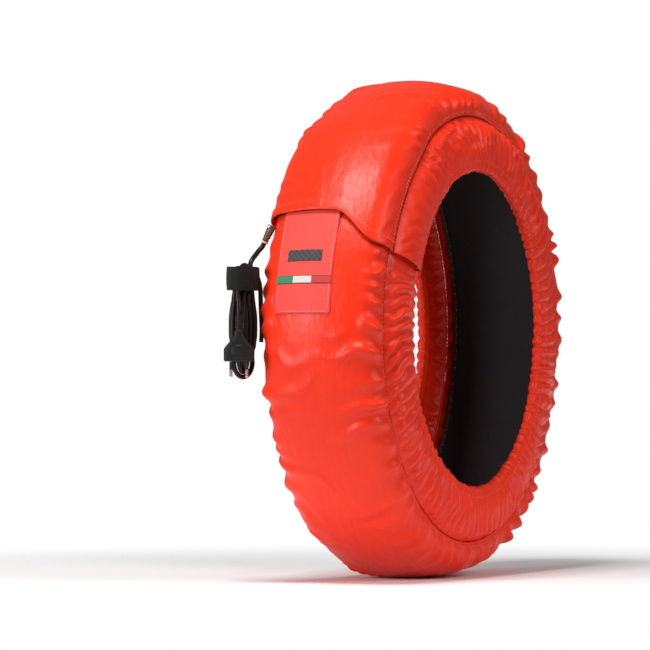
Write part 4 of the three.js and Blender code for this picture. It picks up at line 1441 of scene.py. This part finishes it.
@dataclass
class PullTab:
    """The tab sewn under the flap's edge, with its ribbon and its plain label."""

    width: float = 75.0
    centre: float = 13.0
    tuck: float = 2.4
    end: float = 3.4
    thickness: float = 1.6
    ribbon_height: float = 9.5
    ribbon_angle: float = 11.0
    label_width: float = 46.0
    label_height: float = 14.0
    label_angle: float = 16.5

    def height(self, angle: Array) -> Array:
        """Height over the tread: it lies on it and rises at its top, under the flap's edge."""
        rise = smoothstep(COVER.flap_edge - 6, COVER.flap_edge - 0.5, angle)
        return 0.3 + (COVER.flap_lift_height - 1.2 - 1.0 - 0.9 - self.thickness - 0.3) * rise

    def at(self, across: Array, angle: Array, above: Array | float) -> Array:
        """Points over the tab from a place across, an angle and a height above its underside.

        The tab bows a little between its edges: 0.5 sin(pi x) across and a slow wave along it.
        """
        share = (across - self.centre) / self.width + 0.5
        bow = 0.45 * np.sin(math.pi * np.clip(share, 0, 1)) + 0.25 * np.sin(np.radians(angle * 34 + across * 3))
        bow = bow * (1 - smoothstep(21.0, 25.0, angle))
        slope = np.degrees(np.arcsin(across / COVER.crown_radius))
        width, radius = COVER.section(slope, -(self.height(angle) + bow + above))
        return COVER.place(width, radius, COVER.tucked_end - angle)

    def sheet(
        self, name: str, width: float, angles: tuple[float, float], above: float, thickness: float,
        finish: Finish, slot: Slot, cells: tuple[int, int], unit_uv: bool = False, corner: float = 0.0,
    ) -> bpy.types.Object:
        """A flat piece of the tab.

        Args:
            name: The piece's name.
            width: Its width.
            angles: Its top and bottom.
            above: Height of its underside above the tab's.
            thickness: Its thickness, less at its edges.
            finish: Its finish.
            slot: The record's slot.
            cells: Rows and columns of its grid.
            unit_uv: True for UV from 0 to 1, otherwise in metres.
            corner: Radius of its lower corners.

        Returns:
            The piece.
        """
        down, over = np.linspace(0.0, 1.0, cells[0]), np.linspace(0.0, 1.0, cells[1])
        down, over = np.meshgrid(down, over, indexing="ij")
        angle = angles[0] + (angles[1] - angles[0]) * down
        length = abs(angles[0] - angles[1]) * math.radians(1) * COVER.crown_top
        from_side = np.minimum(over, 1 - over) * width
        from_end = (1 - down) * length
        if corner > 0:
            short = np.maximum(corner - from_end, 0.0)
            squeeze = corner - np.sqrt(np.maximum(corner**2 - short**2, 0.0))
            over = 0.5 + (over - 0.5) * (1 - 2 * squeeze / width)
        across = self.centre + (over - 0.5) * width
        rim = np.minimum(np.minimum(from_side, from_end), down * length + 0.6)
        round_edge = np.sqrt(np.clip(rim / 0.8, 0.0, 1.0))
        outer = self.at(across, angle, above + thickness * (0.35 + 0.65 * round_edge))
        inner = self.at(across, angle, above)
        scale = (1.0, 1.0) if unit_uv else (width * MM, length * MM)
        uv = np.stack([(1 - over) * scale[0], (1 - down) * scale[1]], axis=-1)
        return add_shell(name, outer, inner, finish, slot, uv)

    def line(self, start: tuple[float, float], finish: tuple[float, float], above: float) -> tuple[Array, Array]:
        """A straight line over the tab between two places given as across and angle, with its normals."""
        share = np.linspace(0.0, 1.0, 300)
        across = start[0] + (finish[0] - start[0]) * share
        angle = start[1] + (finish[1] - start[1]) * share
        line = self.at(across, angle, above)
        return line, line * [1, 0, 1] / np.linalg.norm(line * [1, 0, 1], axis=1, keepdims=True)

    def build(self) -> None:
        """Builds the tab, its bound edges, ribbon, label and stitches."""
        top, low = COVER.flap_edge + self.tuck, self.end
        tab = self.sheet(
            "pull_tab_cloth", self.width, (top, low), 0.0, self.thickness, TAB_CLOTH, Slot.TAB, (120, 70),
            corner=2.5,
        )
        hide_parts("pull_tab")
        left, right = self.centre - self.width / 2, self.centre + self.width / 2
        face = self.thickness
        per_mm = 1 / (math.radians(1) * COVER.crown_top)
        inset = 2.6
        lines = [
            self.line((left + inset, COVER.flap_edge - 0.4), (left + inset, low + inset * per_mm), face),
            self.line((right - inset, COVER.flap_edge - 0.4), (right - inset, low + inset * per_mm), face),
            self.line((left + inset, low + inset * per_mm), (right - inset, low + inset * per_mm), face),
        ]
        stitches = Stitching(3.0, 4.6, 0.46).piece("tab_stitches", lines, PALE_THREAD, Slot.TAB)
        half = self.ribbon_height / 2 * per_mm
        ribbon = self.sheet(
            "ribbon_stripe", self.width - 1.0, (self.ribbon_angle + half, self.ribbon_angle - half),
            face + 0.3, 0.6, StripedRibbon(), Slot.RIBBON, (14, 90), unit_uv=True,
        )
        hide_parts("ribbon")
        half = self.label_height / 2 * per_mm
        label = self.sheet(
            "woven_label", self.label_width, (self.label_angle + half, self.label_angle - half),
            face + 0.3, 0.6, CheckLabel(), Slot.LABEL, (24, 60),
        )
        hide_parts("label")
        edges = [self.centre + sign * (self.label_width / 2 - 1.6) for sign in (-1, 1)]
        around = [
            self.line(
                (place, self.label_angle + half - 1.2 * per_mm),
                (place, self.label_angle - half + 1.2 * per_mm), face + 0.9,
            )
            for place in edges
        ]
        Stitching(1.6, 2.6, 0.2).piece("label_stitches", around, LINING_CLOTH, Slot.LABEL)


@dataclass
class CableBoot:
    """The sleeve at the far shoulder that the lead comes out of, with its ring and its rivet."""

    angle: float = 25.0
    slope: float = 48.0
    base: float = 5.0
    neck: float = 3.4
    reach: tuple[float, float, float] = (-3.8, 9.3, -21.1)
    ring_length: float = 2.2
    ring_wall: float = 0.9
    gap: float = 0.3

    @property
    def root(self) -> Array:
        """Foot of the boot's axis, just off the cloth."""
        width, radius = COVER.section(np.array(self.slope), -(self.base + self.gap))
        return COVER.place(width, radius, COVER.tucked_end - self.angle)

    @property
    def tip(self) -> Array:
        """End of the boot's axis, where the lead comes out."""
        return self.root + np.array(self.reach)

    @property
    def axis(self) -> Array:
        """Unit vector along the boot."""
        reach = np.array(self.reach)
        return reach / np.linalg.norm(reach)

    def build(self) -> None:
        """Builds the sleeve with its three soft ribs, the ring and the rivet."""
        length = float(np.linalg.norm(self.reach))
        start = length - self.ring_length - 1
        heights = np.linspace(0.0, start, 60)
        body = self.neck + 0.5 + (self.base - self.neck - 0.5) * (1 - smoothstep(4.0, start, heights))
        body = body - 1.2 * np.exp(-heights / 0.35) + 0.28 * np.sin(heights * 1.35) * smoothstep(6, 9, heights)
        profile = [(0.0, 0.0), *zip(body, heights), (self.neck, start + 0.4), (self.neck, length), (0.0, length)]
        sleeve = add_lathe("smoky_sleeve", profile, self.root, self.axis, SmokySleeve(), Slot.BOOT, 48)
        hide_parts("cable_boot")
        inner, outer = self.neck + self.gap, self.neck + self.gap + self.ring_wall
        corners = [(inner, 0.0), (outer, 0.0), (outer, self.ring_length), (inner, self.ring_length), (inner, 0.0)]
        middle = self.root + self.axis * (length - self.ring_length)
        ring = rounded_profile(corners, 0.35, 5)
        radii = [(radius, height) for radius, height in ring]
        piece = add_lathe("sleeve_ring", radii, middle, self.axis, RING_PLASTIC, Slot.RING, 48)
        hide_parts("boot_ring")
        self.rivet(middle)

    def rivet(self, middle: Array) -> None:
        """The rivet's domed head, on the sleeve's side."""
        low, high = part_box("boot_rivet")
        centre = (np.array(low) + np.array(high)) / 2 / MM
        foot = self.root + self.axis * 3.0
        out = centre - foot
        out = out - self.axis * np.dot(out, self.axis)
        out /= np.linalg.norm(out)
        dome = [(1.8 * math.cos(a), 1.2 * math.sin(a)) for a in np.linspace(0, math.pi / 2, 12)]
        profile = [(0.0, 0.0), (1.8, 0.0), *dome[1:-1], (0.0, 1.2)]
        origin = foot + out * (self.base + self.gap)
        head = add_lathe("rivet_head", profile, origin, out, BrightMetal("nickel"), Slot.METAL, 32)
        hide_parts("boot_rivet")


BOOT = CableBoot()


@dataclass
class Hank:
    """The wound cord: one line from the boot through all the turns to the plug, and its tie."""

    hang: tuple[float, float, float] = (-17.8, 19.8, -104.0)
    yaw: float = -66.0
    diameter: float = 6.0
    top: float = 77.0
    bottom: float = -58.0
    loop_radius: float = 18.0
    rise: float = 6.15
    turns: int = 5
    front: tuple[float, ...] = (325.0, 301.0, 277.0, 253.0, 229.0)
    back: tuple[float, ...] = (145.0, 121.0, 97.0, 73.0, 49.0)
    tie_top: float = 77.0
    tie_bottom: float = 45.0
    tie_thickness: float = 1.6
    tie_room: float = 6.3
    plug_x: float = -4.0
    plug_top: float = 16.0

    def world(self, points: Array) -> Array:
        """Points of the hank's own frame in the row frame."""
        angle = math.radians(self.yaw)
        turn = np.array([[math.cos(angle), -math.sin(angle), 0], [math.sin(angle), math.cos(angle), 0], [0, 0, 1]])
        return np.asarray(points, float) @ turn.T + BOOT.tip + np.array(self.hang)

    def scales(self, z: Array) -> tuple[Array, Array]:
        """Squeeze across and stretch in depth at a height, as in the CAD model."""
        top, bottom = smoothstep(10.0, 43.0, z), 1.0 - smoothstep(-43.0, 0.0, z)
        return 1 - 0.22 * top - 0.14 * bottom, 1 + 0.15 * top + 0.08 * bottom

    def half_sizes(self, z: float) -> tuple[float, float]:
        """Half width and half depth of the wound hank at a height."""
        across, deep = self.scales(z)
        half = self.diameter / 2
        return float(self.loop_radius * across + half), float(self.loop_radius * deep + half)

    def plan(self, azimuth: float, z: Array) -> Array:
        """Points of a strand at heights: radius 18 round the hank's axis, squeezed and stretched."""
        across, deep = self.scales(z)
        a = math.radians(azimuth)
        x, y = self.loop_radius * across * math.cos(a), self.loop_radius * deep * math.sin(a)
        return np.stack([x, y, z], axis=-1)

    def bend(self, first: Array, second: Array, pole: float, upward: int) -> Array:
        """A half circle between two strands whose highest or lowest point is at the pole's height.

        Plan places go from first to second as (1 - cos p) / 2, heights as spring + r sin p.
        """
        half = np.linalg.norm(second[:2] - first[:2]) / 2
        spring = pole - upward * half
        p = np.linspace(0.0, math.pi, 40)
        plan = first[:2] + (second[:2] - first[:2]) * ((1 - np.cos(p)) / 2)[:, None]
        return np.column_stack([plan, spring + upward * half * np.sin(p)])

    @property
    def plug_depth(self) -> float:
        """Depth of the plug's middle in front of the hank."""
        return -(self.half_sizes(-39.0)[1] + 0.3 + 13.7 / 2)

    def line(self) -> Array:
        """The cord's whole centreline in the row frame, with points 2 mm apart."""
        last_depth = -(self.half_sizes(self.tie_bottom)[1] + 0.3 + self.diameter / 2)
        entry = np.array([9.2, -11.6, 76.8])
        tip, axis = BOOT.tip, BOOT.axis
        lead = [tip + 0.3 * axis, tip + 4.3 * axis]
        for shift in ((9.5, 15.5, 17.5), (5.6, 9.2, 12.0), (1.6, 2.6, 6.0), (0.0, 0.0, 0.5)):
            lead.append(self.world(entry + shift))
        strands = [self.world(np.array([[9.9, -11.8, 62.0], [10.6, -11.7, 50.0]]))]
        for number in range(self.turns):
            down, up = self.front[number], self.back[number]
            low = self.bottom + self.rise * (self.turns - 1 - number)
            high = self.top - self.rise * (self.turns - 1 - number)
            bottom = self.bend(self.plan(down, np.array(-25.0)), self.plan(up, np.array(-25.0)), low, -1)
            if number + 1 < self.turns:
                onward = self.plan(self.front[number + 1], np.array(50.0))
            else:
                onward = np.array([self.plug_x - 1, last_depth, 50.0])
            top = self.bend(self.plan(up, np.array(50.0)), onward, high, 1)
            heights = np.linspace(30.0, bottom[0, 2] + 6, 8)
            strands.append(self.world(self.plan(down, heights)))
            strands.append(self.world(bottom))
            strands.append(self.world(self.plan(up, np.linspace(bottom[-1, 2] + 8, top[0, 2] - 8, 9))))
            strands.append(self.world(top))
        tail = np.array([
            [self.plug_x - 1, last_depth, 39.0],
            [self.plug_x - 0.5, (last_depth + self.plug_depth) / 2, (self.tie_bottom + self.plug_top) / 2],
            [self.plug_x, self.plug_depth, self.plug_top + 6],
            [self.plug_x, self.plug_depth, self.plug_top + 0.3],
        ])
        strands.append(self.world(tail))
        return smooth_path(np.vstack([np.array(lead), *strands]), 2.0)

    def cord(self) -> bpy.types.Object:
        """The cord as one tube along its line."""
        centres = self.line()
        path = bpy.data.curves.new("mains_cord", "CURVE")
        path.dimensions = "3D"
        spline = path.splines.new("POLY")
        spline.points.add(len(centres) - 1)
        spline.points.foreach_set("co", np.column_stack([centres * MM, np.ones(len(centres))]).ravel())
        path.bevel_depth = self.diameter / 2 * MM
        path.bevel_resolution = 5
        path.use_fill_caps = True
        piece = bpy.data.objects.new("mains_cord", path)
        bpy.context.scene.collection.objects.link(piece)
        path.materials.append(WARDROBE.get(CORD_JACKET))
        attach(piece, "root")
        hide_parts("power_lead", "cord_hank", "plug_lead")
        return piece

    def tie(self) -> bpy.types.Object:
        """The strap round the hank's neck: a wound band whose free end lies over its start."""
        across, deep = self.half_sizes(self.tie_bottom)
        share = np.linspace(0.0, 1.0, 150)
        angle = math.radians(248) + 2 * math.pi * 1.16 * share
        over = 0.3 + 1.9 * smoothstep(0.84, 0.90, share) + 0.15 * np.sin(angle * 5)
        room = np.where(np.sin(angle) < 0, self.tie_room * np.minimum(1, -np.sin(angle) * 2.2), 0.0)
        x = (across + over + 0.6) * np.cos(angle)
        y = (deep + over + 0.6 + room) * np.sin(angle)
        normal = np.stack([np.gradient(y), -np.gradient(x)], axis=1)
        normal /= np.linalg.norm(normal, axis=1, keepdims=True)
        rows = np.linspace(0.0, 1.0, 22)
        low, high = self.tie_bottom + 0.5, self.tie_top - 0.5
        tilt = 1.5 * np.sin(angle * 1.5 + 0.6)[:, None] + 0.5 * SoftNoise(63).at(share[:, None] * 14, 0.5)
        z = low + 1.2 + (high - low - 3.2) * rows[None] + tilt * (0.3 + 0.7 * rows[None])
        fuzz = 0.22 * SoftNoise(61).at(share[:, None] * 90, rows[None] * 22)
        bulge = 0.8 * np.sin(math.pi * rows[None]) + fuzz
        grids = []
        for extra in (self.tie_thickness, 0.0):
            out = bulge + extra
            grids.append(np.stack([x[:, None] + normal[:, :1] * out, y[:, None] + normal[:, 1:] * out, z], axis=-1))
        outer, inner = (self.world(grid) for grid in grids)
        length = float(np.sum(np.hypot(np.diff(x), np.diff(y))))
        uv = np.stack(np.meshgrid(share * length, rows * (high - low), indexing="ij"), axis=-1) * MM
        strap = add_shell("hook_and_loop_tie", outer, inner, HOOK_TAPE, Slot.HOOK_LOOP, uv)
        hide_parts("hank_tie")
        return strap

    def tail(self) -> bpy.types.Object:
        """The tie's narrow free end that hangs beside the hank."""
        points = [
            (17.2, 3.0, 62.0), (19.6, 0.5, 52.0), (20.6, -1.5, 40.0),
            (21.4, -3.0, 22.0), (21.9, -4.0, 2.0), (21.4, -5.0, -16.0),
        ]
        line = smooth_path(points, 2.0)
        tangent, first, second = swept_frames(line, np.tile([0.5, 0.87, 0.0], (len(line), 1)))
        over = np.linspace(-0.5, 0.5, 9)
        share = np.linspace(0, 1, len(line))[:, None]
        wide = 9.0 * (1 - 0.15 * share)
        curl = 0.5 * np.cos(over[None] * math.pi) + 0.3 * np.sin(share * 9)
        grids = [
            line[:, None] + first[:, None] * (over[None] * wide)[..., None]
            + second[:, None] * (curl + extra)[..., None]
            for extra in (1.3, 0.0)
        ]
        uv = np.stack(np.broadcast_arrays(share * 90, over[None] * 9), axis=-1) * MM
        outer, inner = (self.world(grid) for grid in grids)
        return add_shell("tie_tail", outer, inner, HOOK_TAPE, Slot.HOOK_LOOP, uv)


HANK = Hank()


@dataclass
class Plug:
    """The moulded two-pin plug with its ribbed strain relief."""

    face: float = -39.0
    shoulder: float = -22.0
    neck: float = -1.0
    top: float = 16.0
    half_width: float = 18.3
    neck_half_width: float = 5.6
    thickness: float = 13.7
    relief: float = 4.6
    ribs: int = 5
    rib_depth: float = 0.8

    def outline(self, z: Array) -> tuple[Array, Array, Array]:
        """Half width, half depth and squareness of the body at a height."""
        edge = np.clip((z - self.face) / 1.8, 0.0, 1.0)
        rounded = 1.8 * (1 - np.sqrt(np.maximum(1 - (1 - edge) ** 2, 0.0)))
        shoulder = smoothstep(self.shoulder - 3, self.neck - 4, z)
        wide = self.half_width + (self.neck_half_width - self.half_width) * shoulder**0.8 - rounded
        deep = self.thickness / 2 - (self.thickness / 2 - 5.2) * smoothstep(self.shoulder, self.neck, z) - rounded
        relief = smoothstep(self.neck - 2.5, self.neck + 0.5, z)
        pitch = (self.top - self.neck) / self.ribs
        groove = smoothstep(0.1, 0.5, np.cos(2 * math.pi * (z - self.neck) / pitch + math.pi))
        round_relief = self.relief - self.rib_depth * groove * smoothstep(self.neck, self.neck + 1.5, z)
        wide = wide + (round_relief - wide) * relief
        deep = deep + (round_relief - deep) * relief
        return wide, deep, 2.0 + 2.6 * (1 - relief) * (1 - 0.6 * shoulder)

    def build(self) -> bpy.types.Object:
        """Builds the body as rings: super-ellipses whose power falls from 4.6 at the face to 2 at the neck."""
        z = np.concatenate([
            self.face + 1.8 * (1 - np.cos(np.linspace(0, math.pi / 2, 8))),
            np.linspace(self.face + 2.4, self.neck - 2, 44),
            np.linspace(self.neck - 1.5, self.top, 110),
        ])
        wide, deep, power = (value[:, None] for value in self.outline(z))
        angle = np.linspace(0, 2 * math.pi, 72, endpoint=False)[None]
        c, s = np.cos(angle), np.sin(angle)
        x = wide * np.sign(c) * np.abs(c) ** (2 / power)
        y = deep * np.sign(s) * np.abs(s) ** (2 / power)
        height = z[:, None] + 0 * x
        front = smoothstep(0.2, 0.9, -s) + 0 * x
        boss = smoothstep(8.2, 6.8, np.hypot(x, height + 27.0))
        dish = smoothstep(5.6, 4.4, np.hypot(x, height + 27.0))
        y = y - front * (1.5 * boss - 1.3 * dish)
        grip = smoothstep(9.5, 11.0, np.abs(x)) * smoothstep(-37.5, -36, height) * smoothstep(-21, -23, height)
        y = y + np.sign(y) * grip * 0.35 * np.cos(2 * math.pi * height / 2.6)
        centre = np.array([HANK.plug_x, HANK.plug_depth, 0.0])
        rings = HANK.world(np.stack([x, y, height], axis=-1) + centre)
        body = add_rings("moulded_plug", rings, PLUG_PLASTIC, Slot.PLASTIC)
        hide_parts("plug_body")
        return body


@dataclass
class HemElastic:
    """The covered elastic cord inside a side panel's hem."""

    side: int
    radius: float = 1.9

    def build(self) -> None:
        """Builds the cord: rings round its line, drawn in and out a little by the gathers."""
        turn = np.linspace(0.7, COVER.strip_turn - 0.7, 700)
        across = 81.04 + COVER.flap_lift(turn) - COVER.side_tuck(turn)
        drop = COVER.edge_drop(turn, self.side * across)
        wave = 0.25 * np.sin(turn * 1.7)
        line = COVER.place(self.side * across, 203.5 + wave, turn + drop)
        _, first, second = swept_frames(line, np.tile([0.0, 1.0, 0.0], (len(line), 1)))
        rings = ring_points(line, first, second, np.full(len(line), self.radius), 10)
        name = "left" if self.side < 0 else "right"
        piece = add_rings(f"hem_elastic_{name}", rings, ELASTIC_COVER, Slot.ELASTIC)
        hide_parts(f"elastic_{name}")


class Studio:
    """Camera, floor, white surroundings and soft lamps."""

    photo_size: int = 650
    scale: float = 1.25
    object_middle: tuple[float, float] = (416.0, 329.0)
    azimuth: float = -66.0
    lens: float = 300.0

    def camera(self) -> None:
        """The camera at the photograph's angle: level, 66 degrees round from the axle."""
        data = bpy.data.cameras.new("camera")
        data.lens, data.sensor_width = self.lens, 36.0
        data.shift_x = (self.photo_size / 2 - self.object_middle[0]) / self.photo_size
        data.shift_y = (self.object_middle[1] - self.photo_size / 2) / self.photo_size
        camera = bpy.data.objects.new("camera", data)
        bpy.context.scene.collection.objects.link(camera)
        distance = self.photo_size * self.scale * MM / 2 / (18.0 / self.lens)
        angle = math.radians(self.azimuth)
        back = Vector((math.sin(angle), -math.cos(angle), 0.0))
        camera.location = back * distance
        camera.rotation_euler = (-back).to_track_quat("-Z", "Y").to_euler()
        data.clip_start, data.clip_end = 0.05, 60.0
        bpy.context.scene.camera = camera

    def lamp(self, name: str, azimuth: float, elevation: float, distance: float, size: float, power: float) -> None:
        """A square soft lamp that faces the object's middle.

        Args:
            name: Its name.
            azimuth: Its place round the object, as the camera's.
            elevation: Its height as an angle.
            distance: Its distance in metres.
            size: Its side in metres.
            power: Its power in watts.
        """
        data = bpy.data.lights.new(name, "AREA")
        data.shape, data.size, data.energy = "SQUARE", size, power
        lamp = bpy.data.objects.new(name, data)
        bpy.context.scene.collection.objects.link(lamp)
        a, e = math.radians(azimuth), math.radians(elevation)
        back = Vector((math.sin(a) * math.cos(e), -math.cos(a) * math.cos(e), math.sin(e)))
        lamp.location = back * distance
        lamp.rotation_euler = (-back).to_track_quat("-Z", "Y").to_euler()

    def floor(self) -> None:
        """A pale round floor that fades into the white surroundings."""
        count = 96
        radii = np.array([0.0, 0.4, 0.8, 1.2, 1.6, 2.0]) * 1000
        angle = np.linspace(0, 2 * math.pi, count, endpoint=False)
        rings = np.stack([
            radii[:, None] * np.cos(angle), radii[:, None] * np.sin(angle),
            np.full((len(radii), count), float(cad_low.z) / MM),
        ], axis=-1)
        faces = grid_faces(len(radii), count, round_columns=True)
        mesh = bpy.data.meshes.new("floor")
        mesh.from_pydata((rings.reshape(-1, 3) * MM).tolist(), [], faces.tolist())
        floor = bpy.data.objects.new("floor", mesh)
        bpy.context.scene.collection.objects.link(floor)
        merge_doubles(floor)
        tree = FinishTree("pale_floor")
        place = tree.place()
        away = tree.math("SQRT", tree.part(place, "X") ** 2.0 + tree.part(place, "Y") ** 2.0)
        fade = tree.step(away, 0.38, 1.1)
        tree.dress({"Base Color": (0.95, 0.95, 0.95, 1.0), "Roughness": 0.9, "Specular IOR Level": 0.1})
        white = tree.node("ShaderNodeEmission", None, {"Color": (1, 1, 1, 1), "Strength": 1.0})
        clear = tree.node("ShaderNodeBsdfTransparent")
        rays = tree.nodes.new("ShaderNodeLightPath")
        seen = tree.limit(Wire(tree, rays.outputs["Is Camera Ray"]) + Wire(tree, rays.outputs["Is Glossy Ray"]))
        away_mix = tree.node("ShaderNodeMixShader", None, {0: seen, 1: clear, 2: white})
        mixed = tree.node("ShaderNodeMixShader", None, {
            0: fade, 1: Wire(tree, tree.surface.outputs[0]), 2: away_mix,
        })
        tree.links.new(mixed.socket, tree.result.inputs["Surface"])
        mesh.materials.append(tree.material)

    def surroundings(self, level: float) -> None:
        """White to the camera and to rays through clear surfaces, and a plain grey level of light on the object and
        in its reflections.
        """
        world = bpy.data.worlds.new("surroundings")
        bpy.context.scene.world = world
        world.use_nodes = True
        nodes, links = world.node_tree.nodes, world.node_tree.links
        light = nodes["Background"]
        light.inputs["Color"].default_value = (1, 1, 1, 1)
        light.inputs["Strength"].default_value = level
        white = nodes.new("ShaderNodeBackground")
        white.inputs["Color"].default_value = (1, 1, 1, 1)
        white.inputs["Strength"].default_value = 1.0
        rays = nodes.new("ShaderNodeLightPath")
        total = nodes.new("ShaderNodeMath")
        total.operation = "MAXIMUM"
        links.new(rays.outputs["Is Camera Ray"], total.inputs[0])
        links.new(rays.outputs["Is Transmission Ray"], total.inputs[1])
        mix = nodes.new("ShaderNodeMixShader")
        links.new(total.outputs[0], mix.inputs[0])
        links.new(light.outputs[0], mix.inputs[1])
        links.new(white.outputs[0], mix.inputs[2])
        links.new(mix.outputs[0], nodes["World Output"].inputs["Surface"])

    def build(self) -> None:
        """Builds the stage."""
        self.camera()
        self.floor()
        self.surroundings(0.22)
        self.lamp("key", -88.0, 60.0, 2.3, 0.6, 44.0)
        self.lamp("left", -118.0, 8.0, 2.2, 0.7, 22.0)
        self.lamp("side", -10.0, 24.0, 2.6, 0.9, 19.0)
        scene = bpy.context.scene
        scene.view_settings.view_transform = "Standard"


def dress_cad_nodes() -> None:
    """Gives the CAD nodes that stay their finishes."""
    finishes = {
        "plug_pin_left": BrightMetal("pin_nickel", -0.0495),
        "plug_pin_right": BrightMetal("pin_nickel", -0.0495),
        "thermostat": THERMOSTAT_CASE,
    }
    for name, finish in finishes.items():
        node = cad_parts[name]
        node.data.materials.clear()
        node.data.materials.append(WARDROBE.get(finish))


def main() -> None:
    """Builds the stage and every piece."""
    logging.basicConfig(level=logging.INFO, format="%(name)s %(message)s")
    Studio().build()
    cord = HANK.cord()
    strap, tail, plug = HANK.tie(), HANK.tail(), Plug().build()
    line = HANK.line()
    tuple(BOOT.tip * MM)
    BOOT.build()
    tread = TreadPanel()
    tread.build()
    tread.stitch()
    sides = [SidePanel("side_cloth_left", -1, 21), SidePanel("side_cloth_right", 1, 33)]
    for side in sides:
        side.build()
    hems = [side.stitch_line() for side in sides]
    Stitching(3.0, 4.8, 0.42).piece("hem_stitches", hems, SEAM_THREAD, Slot.SHELL)
    for side in (-1, 1):
        HemElastic(side).build()
    Padding().build()
    Closure().build()
    PullTab().build()
    dress_cad_nodes()


if __name__ == "__main__":
    main()
